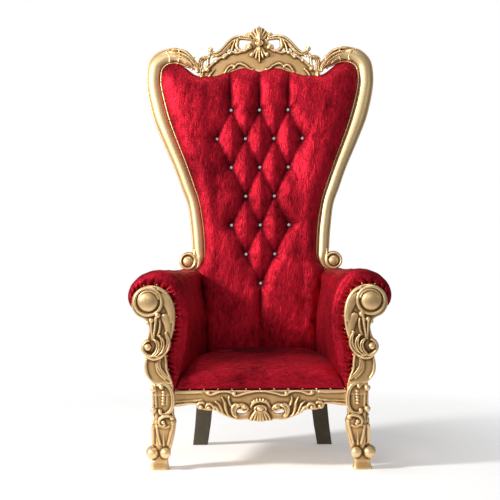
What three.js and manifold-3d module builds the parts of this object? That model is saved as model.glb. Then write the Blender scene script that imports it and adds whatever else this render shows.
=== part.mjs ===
// A tall carved and gilded throne with a splayed, diamond-tufted back, roll-over arms, a pierced crest and
// apron, gilt front legs with ball feet and plain dark rear legs. Millimetres, +Z up, the front towards -Y.
// While it is built, y = 0 is just before the front legs and z = 0 is the floor. The last lines move the
// whole so that the origin is the bottom centre of its bounding box.

import * as THREE from 'three';
import { mergeVertices } from 'three/addons/utils/BufferGeometryUtils.js';
import Module from 'manifold-3d';

const wasm = await Module();
wasm.setup();

// ---------------------------------------------------------------- driving dimensions

const GAP = 0.35; // clearance between neighbouring pieces

// The reclined plane between the inner and the outer back. Depths of the back are measured from it.
const PANEL = { y: 605, z: 800, slope: 0.15, thick: 52, bottom: 317, lowPad: 30 };
const FRAME = { crown: 26, back: 40, lip: 10 };

const TUFT = { dx: 62, dz: 125, topZ: 1458, pit: 12, puff: 42, edge: 11 };
const TUFT_ROWS = [[-2, 0, 2], [-3, -1, 1, 3], [-2, 0, 2], [-1, 1], [-2, 0, 2], [-1, 1], [0]];
const BOLSTER = [34, 48, 54, 48, 30, TUFT.edge]; // fullness of the smooth wings, from the tufts to the edge
const BUTTON = { clear: 1.8, radius: 7.5, girdle: 6, table: 4.6, height: 11, sides: 6 };

const RAIL = { top: 316, bottom: 257, front: 22, thick: 28 };
const REAR_RAIL = { y0: 533, y1: 585, halfWidth: 293 };
const SIDE_RAIL = { frontX: 424, rearX: 322, thick: 28 };
const LEG = { x: 384.5, y: 42, half: 40, blockBottom: 219, blockTop: 345 };
const FOOT = { x: 406, y: 34, half: 40, topHalf: 33, height: 34 };
const REAR_LEG = { topX: 243, topY: 559, footX: 271, footY: 640, topHalf: 35, footHalf: 32, deep: 28 };
const SEAT = { front: 29, roll: 26, frontZ: 405, middleZ: 448, rearZ: 438 };

const ARM = { board: 28, padFront: 30, padRound: 22, padInset: 12, taperEnd: 500, seatGap: 1.2 };
const ARM_DISC = { x: 443, z: 676 };

// Right half of the outline shared by the upholstered back, the crest and the stiles: [x, z].
// The side has a point at each row of corners of the tufted front, the top one for each column.
const BACK_SIDE = [
  [236, PANEL.bottom], [236, 450], [239, 583], [260, 708], [262, 770], [242, 833], [247, 958], [271, 1083],
  [314, 1208], [361, 1333], [400, 1458], [423, 1534],
];
const BACK_TOP = [
  [0, 1634], [62, 1645], [124, 1636], [186, 1613.5], [236, 1611.5], [280, 1615], [338, 1657], [381, 1667],
  [412, 1650], [431, 1610],
];

// Centre line and half width of a back stile and its shoulder: [x, z, half width].
const STILE = [
  [312, 768, 3], [291, 769, 7], [273, 781, 12], [265, 802, 18], [264, 826, 24], [268, 855, 28],
  [273, 935, 29], [289, 1050, 28], [315, 1128, 29.5], [346, 1215, 30], [383, 1305, 32], [411, 1375, 34],
  [432, 1435, 36], [450, 1505, 36], [462, 1570, 35], [462, 1622, 35], [452, 1662, 36], [421, 1691, 36],
  [381, 1700, 34], [343, 1693, 31], [314, 1677, 27], [290, 1662, 20], [262, 1644, 12],
];
const VOLUTE = { x: 315, z: 805 };
const CREST_END = 268; // x of the upright joint between the crest and the shoulders

// Front view of the arm upholstery, from the inner foot round the roll to the outer foot: [x, z].
const ARM_SECTION = {
  front: [
    [339, 317], [318, 376], [294, 477], [281, 557], [283, 637], [303, 718], [334, 772], [376, 797],
    [420, 797], [466, 781], [505, 750], [525, 714], [527, 681], [514, 652], [485, 634], [452, 616],
    [432, 560], [424, 440], [423, 317],
  ],
  rear: [
    [237, 317], [237, 376], [237, 450], [240, 583], [261.5, 690], [265, 730], [282, 754], [306, 763],
    [342, 764], [378, 755], [404, 735], [418, 708], [419, 680], [408, 655], [386, 640], [360, 624],
    [345, 560], [328, 440], [322, 317],
  ],
};

// Front view of the gilded arm board, clockwise from the top of the disc: [x, z].
const ARM_BOARD = [
  [443, 739], [405, 735], [371, 716], [349, 683], [338, 646], [336, 608], [341, 566], [351, 528],
  [366, 491], [372, 465], [369, 432], [367, 402], [356, 374], [349, 345.5],
  [424, 345.5], [440, 355], [454, 380], [461, 415], [455, 452], [464, 484], [456, 515], [444, 545],
  [440, 575], [455, 602], [487, 620], [505, 645], [508, 672], [500, 704], [476, 727],
];

// Lower edge of the front rail from the leg to the middle: [x, z].
const APRON_EDGE = [
  [344, 252], [322, 253], [287, 259], [250, 260], [236, 242], [206, 236], [188, 238], [166, 231], [146, 219],
  [120, 205], [90, 197], [58, 198], [40, 195], [0, 190],
];
const APRON_HOLE = { x: 74, z: 231, halfWidth: 23, halfHeight: 9 };

// ---------------------------------------------------------------- materials

const gold = new THREE.MeshStandardMaterial({ color: 0xd9ae66, roughness: 0.38, metalness: 0.75 });
const velvet = new THREE.MeshStandardMaterial({ color: 0xa30f22, roughness: 0.85, metalness: 0 });
const darkWood = new THREE.MeshStandardMaterial({ color: 0x3a2c1c, roughness: 0.5, metalness: 0 });
const plywood = new THREE.MeshStandardMaterial({ color: 0xa98a5e, roughness: 0.8, metalness: 0 });
const crystal = new THREE.MeshStandardMaterial({ color: 0xe8ecf2, roughness: 0.05, metalness: 0.1 });

// ---------------------------------------------------------------- geometry tools

const { clamp, degToRad, lerp } = THREE.MathUtils;
const point = (x, y, z) => new THREE.Vector3(x, y, z);

/** y of the reclined plane of the back at height z. */
const panelY = (z) => PANEL.y + PANEL.slope * (z - PANEL.z);

/** The [x, z] polyline's x at height z, for points that rise. */
function xAt(outline, z) {
  const next = clamp(outline.findIndex((entry) => entry[1] >= z), 1, outline.length - 1);
  const [x0, z0] = outline[next - 1];
  const [x1, z1] = outline[next];
  return lerp(x0, x1, clamp((z - z0) / (z1 - z0), 0, 1));
}

/** An indexed geometry from corners and triangles, turned so that its faces point out. */
function shell(corners, triangles) {
  const volume = triangles.reduce((sum, [a, b, c]) => (
    sum + corners[a].dot(point(0, 0, 0).crossVectors(corners[b], corners[c]))
  ), 0);
  const order = volume > 0 ? triangles : triangles.map(([a, b, c]) => [a, c, b]);
  const geometry = new THREE.BufferGeometry().setFromPoints(corners);
  geometry.setIndex(order.flat());
  return geometry;
}

/** A closed body through rings of equally many corners, with a fan over each end. */
function loft(rings) {
  const sides = rings[0].length;
  const corners = rings.flat();
  const triangles = [];
  for (let r = 0; r + 1 < rings.length; r += 1) {
    for (let s = 0; s < sides; s += 1) {
      const a = r * sides + s;
      const b = r * sides + ((s + 1) % sides);
      triangles.push([a, b, b + sides], [a, b + sides, a + sides]);
    }
  }
  for (const [ring, turned] of [[0, true], [rings.length - 1, false]]) {
    const hub = corners.length;
    corners.push(rings[ring].reduce((sum, corner) => sum.add(corner), point(0, 0, 0)).divideScalar(sides));
    for (let s = 0; s < sides; s += 1) {
      const a = ring * sides + s;
      const b = ring * sides + ((s + 1) % sides);
      triangles.push(turned ? [b, a, hub] : [a, b, hub]);
    }
  }
  return shell(corners, triangles);
}

/** The closed geometry as a body for booleans. */
function solid(geometry) {
  const bare = new THREE.BufferGeometry();
  bare.setAttribute('position', geometry.getAttribute('position'));
  if (geometry.index) bare.setIndex(geometry.index);
  const merged = mergeVertices(bare, 1e-3);
  return new wasm.Manifold(new wasm.Mesh({
    numProp: 3,
    vertProperties: Float32Array.from(merged.getAttribute('position').array),
    triVerts: Uint32Array.from(merged.index.array),
  }));
}

/** The geometries joined into one body. */
const join = (geometries) => geometries.map(solid).reduce((whole, body) => whole.add(body));

/** The geometry of a body. */
function geometryOf(body) {
  const mesh = body.getMesh();
  const geometry = new THREE.BufferGeometry();
  geometry.setAttribute('position', new THREE.BufferAttribute(Float32Array.from(mesh.vertProperties), 3));
  geometry.setIndex(Array.from(mesh.triVerts));
  return geometry;
}

/** The geometry after `move` has edited each corner. */
function reshape(geometry, move) {
  const position = geometry.getAttribute('position');
  const corner = point(0, 0, 0);
  for (let i = 0; i < position.count; i += 1) {
    move(corner.fromBufferAttribute(position, i));
    position.setXYZ(i, corner.x, corner.y, corner.z);
  }
  return geometry;
}

/** Leans a piece of the back, whose y was measured from the reclined plane until now. */
const lean = (geometry) => reshape(geometry, (corner) => { corner.y += panelY(corner.z); });

/** The left-hand copy of an indexed right-hand geometry. */
function mirrored(geometry) {
  const copy = reshape(geometry.clone(), (corner) => { corner.x = -corner.x; });
  const index = Array.from(copy.index.array);
  for (let i = 0; i < index.length; i += 3) [index[i], index[i + 1]] = [index[i + 1], index[i]];
  copy.setIndex(index);
  return copy;
}

/** The geometries and their left-hand copies. */
const bothSides = (geometries) => [...geometries, ...geometries.map(mirrored)];

const box = (x0, x1, y0, y1, z0, z1) => (
  new THREE.BoxGeometry(x1 - x0, y1 - y0, z1 - z0).translate((x0 + x1) / 2, (y0 + y1) / 2, (z0 + z1) / 2)
);

/** A small round carved ball. */
function ball(x, z, radius, { y = 0, detail = 0 } = {}) {
  return mergeVertices(stripped(new THREE.IcosahedronGeometry(radius, detail)), 1e-3).translate(x, y, z);
}

/** A geometry with positions only. */
function stripped(geometry) {
  geometry.deleteAttribute('normal');
  geometry.deleteAttribute('uv');
  return geometry;
}

/** A closed smooth line through [x, z] points, with `count` points in all. */
function smoothLoop(points, count) {
  const curve = new THREE.CatmullRomCurve3(points.map(([x, z]) => point(x, z, 0)), true, 'centripetal');
  return curve.getSpacedPoints(count).slice(0, -1).map((p) => [p.x, p.y]);
}

/** An ellipse in the front view as [x, z] points. */
const ellipse = (x, z, halfWidth, halfHeight, count = 10) => Array.from({ length: count }, (_, i) => {
  const angle = (2 * Math.PI * i) / count;
  return [x + halfWidth * Math.cos(angle), z + halfHeight * Math.sin(angle)];
});

/** A board between y0 (front) and y1 with a front-view outline and holes of [x, z] points. */
function board(outline, y0, y1, { bevel = 0, holes = [] } = {}) {
  const flat = (points) => points.map(([x, z]) => new THREE.Vector2(x, z));
  const shape = new THREE.Shape(flat(outline));
  shape.holes = holes.map((hole) => new THREE.Path(flat(hole)));
  const geometry = new THREE.ExtrudeGeometry(shape, {
    depth: y1 - y0 - 2 * bevel,
    bevelEnabled: bevel > 0,
    bevelSegments: 1,
    bevelSize: bevel,
    bevelThickness: bevel,
    bevelOffset: -bevel,
  });
  geometry.rotateX(Math.PI / 2).translate(0, y1 - bevel, 0);
  return mergeVertices(stripped(geometry), 1e-3);
}

/**
 * A carved strand in the front view. It follows [x, z, half width] points, its back is flat at y and its
 * ridge stands `rise` in front of that.
 */
function strand(stations, { y = 0, rise = 10, steps = 8, back = 0 } = {}) {
  const path = (values) => new THREE.CatmullRomCurve3(values, false, 'centripetal');
  const line = path(stations.map(([x, z]) => point(x, 0, z)));
  const rings = [];
  for (let i = 0; i <= steps; i += 1) {
    const t = i / steps;
    const centre = line.getPoint(t);
    const along = line.getTangent(t);
    const across = point(along.z, 0, -along.x).normalize();
    const place = t * (stations.length - 1);
    const first = Math.min(Math.floor(place), stations.length - 2);
    const half = lerp(stations[first][2], stations[first + 1][2], place - first);
    const height = rise * Math.min(1, 0.4 + half / 8);
    const section = [[-1, -back], [0, height], [1, -back]];
    rings.push(section.map(([side, front]) => (
      centre.clone().addScaledVector(across, side * half).setY(y - front)
    )));
  }
  return loft(rings);
}

/** [x, z, half width] points of a spiral from radius r0 at angle a0 to r1 at a1, in degrees. */
function spiral(x, z, { r0, r1, a0, a1, w0, w1, count = 7 }) {
  return Array.from({ length: count }, (_, i) => {
    const t = i / (count - 1);
    const angle = degToRad(lerp(a0, a1, t));
    const radius = lerp(r0, r1, t);
    return [x + radius * Math.cos(angle), z + radius * Math.sin(angle), lerp(w0, w1, t)];
  });
}

/** A turned boss that faces the front: [radius, height in front of y] pairs from its back to its middle. */
function boss(x, z, profile, { y = 0, sides = 14, wide = 1, tall = 1 } = {}) {
  const outline = profile.map(([radius, front]) => new THREE.Vector2(radius, front));
  const geometry = stripped(new THREE.LatheGeometry(outline, sides)).rotateX(Math.PI);
  return mergeVertices(geometry, 1e-3).scale(wide, 1, tall).translate(x, y, z);
}

// ---------------------------------------------------------------- the back

/** The right half of the back's outline and its mirror image, as one closed loop of [x, z] points. */
function backLoop(grow) {
  const right = [...BACK_SIDE, ...BACK_TOP.slice().reverse()];
  const crestZ = BACK_TOP[BACK_TOP.length - 1][1];
  const half = right.map(([x, z]) => [x === 0 ? 0 : x + grow, z < crestZ ? z : z + grow]);
  const left = half.slice(0, -1).reverse().map(([x, z]) => [-x, z]);
  return [...half, ...left];
}

/** The clear space that the upholstered back stands in, for trimming the frame round it. */
const backOpening = () => solid(board(backLoop(GAP), -90, 90));

/**
 * The front of the tufted back as rows of corners. Buttons lie where rows and columns meet, and between
 * them the stuffing rises, so that the folds run along the diagonals.
 */
function tuftedRows() {
  const outer = BOLSTER.length;
  const levels = BACK_SIDE.slice(0, -1).map(([, z]) => z);
  const rows = levels.map((z, level) => BACK_TOP.map((_, column) => {
    const edge = xAt(BACK_SIDE, z);
    const tufted = 3 * TUFT.dx;
    const x = column <= 3 ? column * TUFT.dx : lerp(tufted, edge, (column - 3) / outer);
    const isButton = (TUFT_ROWS[(TUFT.topZ - z) / TUFT.dz] ?? []).includes(column);
    let rise = column <= 3 ? TUFT.puff : BOLSTER[column - 4];
    if (level < 2) rise = Math.min(rise, PANEL.lowPad);
    return point(x, isButton ? -TUFT.pit : -rise, z);
  }));
  const last = rows[rows.length - 1];
  const top = BACK_TOP.map(([x, z]) => point(x, -TUFT.edge, z));
  const shoulder = last.map((corner, column) => corner.clone().lerp(top[column], 0.5).setY(last[column].y));
  shoulder[last.length - 1].setX(BACK_SIDE[BACK_SIDE.length - 1][0]);
  shoulder.slice(0, 4).forEach((corner) => corner.setY(5 - TUFT.puff));
  return [...rows, shoulder, top];
}

/** The padded, buttoned inner back: mirrored rows in front, a flat back behind. */
function backCushion() {
  const rows = tuftedRows().map((row) => [
    ...row.slice(1).reverse().map((corner) => corner.clone().setX(-corner.x)), ...row,
  ]);
  const across = rows[0].length;
  const front = rows.flat();
  const triangles = [];
  const face = (a, b, c, d, cutAC) => {
    if (cutAC) triangles.push([a, b, c], [a, c, d]);
    else triangles.push([a, b, d], [b, c, d]);
  };
  for (let r = 0; r + 1 < rows.length; r += 1) {
    for (let s = 0; s + 1 < across; s += 1) {
      const a = r * across + s;
      const isPit = (i) => front[i].y === -TUFT.pit;
      const [b, c, d] = [a + 1, a + across + 1, a + across];
      face(a, b, c, d, isPit(a) || isPit(c) || !(isPit(b) || isPit(d)));
    }
  }
  const rim = [];
  for (let s = 0; s < across; s += 1) rim.push(s);
  for (let r = 1; r < rows.length; r += 1) rim.push(r * across + across - 1);
  for (let s = across - 2; s >= 0; s -= 1) rim.push((rows.length - 1) * across + s);
  for (let r = rows.length - 2; r > 0; r -= 1) rim.push(r * across);
  const behind = (i) => front.length + (i % rim.length);
  rim.forEach((a, i) => face(rim[(i + 1) % rim.length], a, behind(i), behind(i + 1), true));
  const flat = rim.map((i) => new THREE.Vector2(front[i].x, front[i].z));
  THREE.ShapeUtils.triangulateShape(flat, []).forEach(([a, b, c]) => (
    triangles.push([behind(c), behind(b), behind(a)])
  ));
  const corners = [...front, ...rim.map((i) => front[i].clone().setY(-GAP))];
  return lean(shell(corners, triangles));
}

/** The outer back: a slim board in the same outline. */
const outerBack = () => lean(board(backLoop(0), GAP, PANEL.thick));

/** One crystal button at its own origin: a faceted crown over a point that sits in the fold. */
function buttonGeometry() {
  const profile = [[0, 0], [BUTTON.radius, BUTTON.girdle], [BUTTON.table, BUTTON.height], [0, BUTTON.height]];
  return boss(0, 0, profile, { sides: BUTTON.sides });
}

/** A right-hand back stile with its volute, moulded face and the banded leaf on its shoulder. */
function stile() {
  const { crown, back, lip } = FRAME;
  const section = [
    [-1, -back], [-1, lip], [-0.68, lip + 3], [-0.42, crown - 3], [0.3, crown], [1, -2], [1, -back],
  ];
  const centres = STILE.map(([x, z]) => point(x, 0, z));
  const line = new THREE.CatmullRomCurve3(centres, false, 'centripetal');
  const rings = STILE.map(([, , half], i) => {
    const t = i / (STILE.length - 1);
    const along = line.getTangent(t);
    const across = point(along.z, 0, -along.x).normalize();
    return section.map(([side, front]) => (
      line.getPoint(t).addScaledVector(across, side * half).setY(-front)
    ));
  });
  const volute = boss(VOLUTE.x, VOLUTE.z, [
    [0, -back], [38, -back], [38, 18], [29, 24], [25, 15], [18, 25], [0, 28],
  ], { sides: 10 });
  const bands = [[[360, 1668, 5], [358, 1728, 6]], [[398, 1668, 5], [412, 1724, 6]]];
  const leaf = [[404, 1703, 3], [372, 1712, 10], [330, 1700, 11], [300, 1672, 7], [276, 1650, 3]];
  const carving = [
    ...bands.map((band) => strand(band, { y: -crown + 6, rise: 12, steps: 1 })),
    strand(leaf, { y: -crown + 8, rise: 12, steps: 4 }),
  ];
  const body = join([loft(rings), volute, ...carving]);
  const trimmed = body.subtract(backOpening()).subtract(solid(box(0, CREST_END, -99, 99, 1590, 1800)));
  return lean(geometryOf(trimmed));
}

// ---------------------------------------------------------------- the crest

/** Right half of the crest's pierced carving, as deep as the frame itself. */
function crestCarving() {
  const ribbon = { y: -4, rise: 18, back: 24 };
  const scroll = { y: -12, rise: 9, steps: 2 };
  const leaf = { y: -10, rise: 14, steps: 2 };
  return [
    strand([[212, 1724, 8], [203, 1711, 10], [187, 1708, 11], [168, 1719, 11], [149, 1739, 11],
      [131, 1758, 11], [110, 1774, 12], [84, 1780, 12], [58, 1777, 12], [30, 1774, 8]],
      { ...ribbon, rise: 20, steps: 8 }),
    strand([[204, 1698, 5], [180, 1702, 6], [157, 1715, 6], [138, 1735, 6], [122, 1754, 6]],
      { ...ribbon, rise: 12, steps: 2 }),
    strand([[228, 1640, 9], [209, 1660, 7], [190, 1677, 7], [171, 1691, 8], [152, 1695, 7], [134, 1712, 8],
      [100, 1716, 7], [60, 1724, 6]], { ...ribbon, steps: 5 }),
    strand(spiral(74, 1746, { r0: 29, r1: 26, a0: 205, a1: 400, w0: 8, w1: 11, count: 8 }),
      { ...ribbon, steps: 6 }),
    strand([[124, 1706, 10], [119, 1728, 9], [114, 1748, 9], [106, 1770, 8]],
      { ...ribbon, rise: 18, steps: 2 }),
    strand([[216, 1706, 7], [224, 1692, 8], [223, 1672, 8], [226, 1650, 8], [231, 1616, 8]],
      { ...ribbon, steps: 4 }),
    strand([[206, 1702, 6], [230, 1702, 9], [250, 1696, 13], [260, 1680, 15], [262, 1655, 14],
      [260, 1616, 13]], { ...ribbon, rise: 20, steps: 4 }),
    ball(212, 1725, 13, { y: -12 }),
    ball(228, 1639, 10, { y: -16 }),
    ball(44, 1736, 13, { y: -14 }),
    ball(45, 1787, 12, { y: -8 }),
    ball(33, 1702, 11, { y: -18 }),
    strand([[152, 1622, 3], [137, 1652, 5], [112, 1656, 5]], scroll),
    strand([[96, 1660, 5], [70, 1658, 5], [28, 1637, 3]], scroll),
    strand([[4, 1768, 6], [24, 1786, 8], [38, 1804, 3]], leaf),
    strand([[2, 1766, 6], [12, 1796, 9], [21, 1821, 3]], { ...leaf, rise: 17 }),
    strand([[4, 1738, 6], [17, 1715, 9], [27, 1697, 3]], leaf),
    strand([[3, 1732, 6], [11, 1704, 9], [18, 1680, 3]], { ...leaf, rise: 16 }),
  ];
}

/** The crest rail: a smooth field under pierced scrolls, a palmette above and a leaf in the middle. */
function crestRail() {
  const field = [
    [244, 1600], [240, 1625], [224, 1646], [207, 1664], [171, 1694], [152, 1696], [134, 1716], [100, 1717],
    [60, 1725], [45, 1740], [40, 1766],
  ];
  const palmette = [[26, 1768], [31, 1785], [40, 1803], [30, 1808], [23, 1822], [10, 1818]];
  const upright = (half, tip) => [...half, tip, ...half.slice().reverse().map(([x, z]) => [-x, z])];
  const middle = [
    board(upright(field, [0, 1768]), -12, 24),
    board(upright([[20, 1750], ...palmette], [1, 1829]), -12, 12),
    strand([[0, 1752, 6], [0, 1796, 10], [1, 1829, 3]], { y: -10, rise: 18, steps: 2 }),
    strand([[0, 1740, 6], [0, 1700, 10], [0, 1666, 3]], { y: -10, rise: 18, steps: 2 }),
    boss(0, 1754, [[0, -20], [18, -20], [18, 20], [14, 27], [11, 23], [0, 30]], { sides: 8, tall: 0.75 }),
  ];
  const body = join([...middle, ...bothSides(crestCarving())]);
  const span = CREST_END - GAP;
  const trimmed = body.intersect(solid(box(-span, span, -99, 99, 1500, 1900))).subtract(backOpening());
  return lean(geometryOf(trimmed));
}

// ---------------------------------------------------------------- arms

/** The section of an arm's upholstery at depth y, as [x, z] points. */
function armSection(y) {
  const t = clamp((y - ARM.padFront) / (ARM.taperEnd - ARM.padFront), 0, 1);
  return ARM_SECTION.front.map(([x, z], i) => {
    const [rearX, rearZ] = ARM_SECTION.rear[i];
    return [lerp(x, rearX, t), lerp(z, rearZ, t)];
  });
}

/** The inner face of the arm at depth y, as rising [x, z] points. */
const armInner = (y) => armSection(y).slice(0, 6);

/** The right-hand arm's upholstery: rounded in front, cut to the line of the outer back behind. */
function armPad() {
  const { padFront, padRound, padInset } = ARM;
  const depths = [padFront, padFront + padRound, lerp(padFront, ARM.taperEnd, 0.5), ARM.taperEnd, PANEL.y];
  const rings = depths.map((y, i) => {
    const section = armSection(y);
    const middle = [420, 600];
    return section.map(([x, z], corner) => {
      const inset = i === 0 && corner > 0 && corner < section.length - 1 ? padInset : 0;
      const away = new THREE.Vector2(x - middle[0], z - middle[1]);
      const shrink = 1 - inset / away.length();
      return point(middle[0] + away.x * shrink, y, middle[1] + away.y * shrink);
    });
  });
  const last = rings[rings.length - 1];
  last.forEach((corner) => corner.setY(panelY(corner.z) + PANEL.thick));
  return loft(rings);
}

/** The right-hand carved arm front: scrolled board, disc, drooping stems and an acanthus cup. */
function armFront() {
  const { x, z } = ARM_DISC;
  const disc = boss(x, z, [
    [0, -20], [60, -20], [60, 6], [52, 11], [45, 4], [38, 11], [0, 18],
  ], { sides: 12 });
  const parts = [
    board(smoothLoop(ARM_BOARD, 30), 0, ARM.board, { bevel: 4 }), disc,
    strand([[409, 618, 7], [412, 596, 6], [416, 566, 5], [420, 540, 4]], { rise: 11, steps: 1 }),
    strand([[431, 596, 6], [430, 572, 5], [427, 542, 4]], { rise: 9, steps: 1 }),
    ball(408, 622, 10, { y: -4 }),
    ball(431, 599, 9, { y: -4 }),
    strand([[410, 460, 6], [382, 480, 9], [367, 515, 9], [372, 552, 4]], { y: 2, rise: 15, steps: 3 }),
    strand([[420, 460, 6], [400, 480, 9], [388, 507, 9], [396, 536, 4]], { y: 2, rise: 18, steps: 3 }),
    strand([[430, 461, 6], [418, 480, 8], [409, 505, 8], [421, 526, 4]], { y: 2, rise: 20, steps: 3 }),
    strand([[436, 532, 4], [448, 522, 6], [462, 508, 7], [468, 488, 7], [456, 468, 7], [432, 462, 6]],
      { y: 2, rise: 14, steps: 5 }),
    ball(444, 496, 15, { y: -6 }),
    strand([[398, 463, 3], [400, 425, 5], [384, 392, 6], [360, 366, 4]], { rise: 7, steps: 3 }),
  ];
  return geometryOf(join(parts).intersect(solid(box(300, 560, -60, ARM.board, 345.5, 800))));
}

// ---------------------------------------------------------------- legs

/** The carving of one face of a front leg; x is measured from the leg's middle line. */
function legFaceCarving() {
  const rise = 9;
  return [
    strand([[20, 332, 5], [0, 341, 6], [-20, 331, 7], [-34, 298, 7], [-33, 252, 7], [-17, 233, 7],
      [3, 226, 6], [19, 233, 5]], { rise, steps: 7 }),
    ball(9, 333, 9, { y: -1 }),
    ball(14, 237, 8, { y: -1 }),
    strand([[-26, 212, 6], [-6, 214, 7], [14, 206, 6], [14, 188, 6], [0, 182, 5], [-8, 192, 5]],
      { rise: 10, steps: 5 }),
    strand([[-24, 172, 8], [-10, 94, 6]], { rise: 9, y: 3, steps: 1 }),
    strand([[20, 172, 8], [8, 94, 6]], { rise: 9, y: 3, steps: 1 }),
    strand([[2, 316, 6], [4, 262, 6]], { rise: 5, steps: 1 }),
  ];
}

/** A square ring at height z round (x, y). */
const squareRing = (x, y, half, z) => (
  [[-1, -1], [1, -1], [1, 1], [-1, 1]].map(([sx, sy]) => point(x + sx * half, y + sy * half, z))
);

/** The right-hand front leg: carved block, tapering knee and shaft, two balls and a flared foot. */
function frontLeg() {
  const { x, y, half, blockBottom, blockTop } = LEG;
  const face = y - half;
  const rings = [
    [FOOT.x, FOOT.y, FOOT.half, 0], [FOOT.x, FOOT.y, FOOT.topHalf, FOOT.height], [396, 31, 29, 48],
    [389, 40, 31, 78], [386.5, 41, 36, 104], [384, 45, 43, 150], [383, 47, 46, 190], [x, y, 39, 208],
    [x, y, half, blockBottom], [x, y, half, RAIL.top],
  ].map(([cx, cy, h, z]) => squareRing(cx, cy, h, z));
  const tongue = box(x - half, x + half, face, ARM.board, RAIL.top - 9, blockTop);
  const frontFace = legFaceCarving().map((piece) => piece.translate(x, face, 0));
  const sideFace = legFaceCarving().map((piece) => piece.rotateZ(Math.PI / 2).translate(x + half, y, 0));
  const knobs = [326, 242].map((z) => ball(x + half + 2, z, 14, { y: face + 6 }));
  const balls = [ball(433, 64, 30, { y: 38, detail: 1 }), ball(380, 69, 23, { y: 1 })];
  const body = join([loft(rings), tongue, ...frontFace, ...sideFace, ...knobs, ...balls]);
  const behind = solid(box(300, x + half, ARM.board + GAP, 200, RAIL.top, 400));
  const beside = solid(box(x + half - 20, x + half + 40, ARM.board - 6, 200, RAIL.top + 6, 400));
  const above = solid(box(300, x + half, -GAP, ARM.board + 1, blockTop, 400));
  return geometryOf(body.subtract(behind).subtract(beside).subtract(above));
}

/** The right-hand rear leg, square and splayed backwards and outwards. */
function rearLeg() {
  const { topX, topY, footX, footY, topHalf, footHalf, deep } = REAR_LEG;
  const stations = [[0, 1], [90, 0.52], [180, 0.18], [RAIL.bottom - GAP, 0]];
  return loft(stations.map(([z, out]) => {
    const ring = squareRing(0, 0, 1, z);
    const half = lerp(topHalf, footHalf, out);
    ring.forEach((corner) => {
      corner.x = lerp(topX, footX, out) + corner.x * half;
      corner.y = lerp(topY, footY, out) + corner.y * deep;
    });
    return ring;
  }));
}

// ---------------------------------------------------------------- seat frame

/** Right half of the apron's carving, on the rail's front face. */
function apronCarving() {
  const { x, z } = APRON_HOLE;
  return [
    strand(spiral(x, z, { r0: 26, r1: 31, a0: 150, a1: -40, w0: 5, w1: 7, count: 7 }),
      { rise: 11, steps: 5 }),
    strand([[112, 222, 6], [112, 246, 6], [100, 260, 6], [84, 262, 5]], { rise: 10, steps: 2 }),
    ball(63, 249, 9, { y: -3 }),
    strand([[120, 212, 4], [140, 232, 7], [140, 262, 7], [153, 290, 4]], { rise: 10, steps: 3 }),
    strand([[146, 224, 4], [166, 244, 6], [168, 262, 5], [186, 270, 4]], { rise: 8, steps: 3 }),
    strand([[186, 246, 5], [196, 262, 5], [210, 262, 5], [218, 250, 5], [236, 250, 7]],
      { rise: 9, steps: 4 }),
    ball(206, 244, 9, { y: -2 }),
    ball(236, 250, 9, { y: -2 }),
    strand([[250, 269, 4], [290, 270, 4], [342, 266, 4]], { rise: 6, steps: 2 }),
    strand([[216, 309, 4], [196, 300, 4], [156, 311, 4], [120, 311, 4]], { rise: 6, steps: 3 }),
    strand([[108, 300, 4], [84, 298, 4], [45, 308, 4], [0, 311, 4]], { rise: 6, steps: 3 }),
    strand([[14, 240, 5], [24, 212, 7], [40, 193, 5]], { rise: 11, steps: 2 }),
    strand([[6, 236, 5], [12, 210, 7], [18, 189, 5]], { rise: 13, steps: 2 }),
  ];
}

/** The front rail: a board with a curved, pierced lower edge, a cabochon, a shell and leaf scrolls. */
function frontRail() {
  const reach = LEG.x - LEG.half - GAP;
  const right = [[reach, RAIL.top], ...APRON_EDGE.map(([x, z]) => [Math.min(x, reach), z])];
  const left = right.slice(0, -1).reverse().map(([x, z]) => [-x, z]);
  const { x, z, halfWidth, halfHeight } = APRON_HOLE;
  const holes = [x, -x].map((centre) => ellipse(centre, z, halfWidth, halfHeight, 8));
  const y0 = RAIL.front;
  const carving = bothSides(apronCarving()).map((piece) => piece.translate(0, y0, 0));
  const cabochon = boss(0, 242, [[0, -10], [26, -10], [26, 6], [21, 10], [17, 6], [12, 14], [0, 17]],
    { y: y0, sides: 10, tall: 0.6 });
  const body = join([board([...right, ...left], y0, y0 + RAIL.thick, { holes }), cabochon, ...carving]);
  return geometryOf(body.intersect(solid(box(-reach, reach, -40, 80, 100, RAIL.top))));
}

/** A flat slab with a plan outline of [x, y] points between two heights. */
function slab(plan, z0, z1) {
  const shape = new THREE.Shape(plan.map(([x, y]) => new THREE.Vector2(x, y)));
  const geometry = new THREE.ExtrudeGeometry(shape, { depth: z1 - z0, bevelEnabled: false });
  return mergeVertices(stripped(geometry), 1e-3).translate(0, 0, z0);
}

/** The right-hand side rail, from the front leg's block to the rear rail's end. */
function sideRail() {
  const { frontX, rearX, thick } = SIDE_RAIL;
  const y0 = LEG.y + LEG.half + GAP;
  const y1 = REAR_RAIL.y1;
  return slab([[frontX - thick, y0], [frontX, y0], [rearX, y1], [REAR_RAIL.halfWidth + GAP, y1],
    [REAR_RAIL.halfWidth + GAP, REAR_RAIL.y0]], RAIL.bottom, RAIL.top);
}

const rearRail = () => (
  box(-REAR_RAIL.halfWidth, REAR_RAIL.halfWidth, REAR_RAIL.y0, REAR_RAIL.y1, RAIL.bottom, RAIL.top)
);

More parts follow.
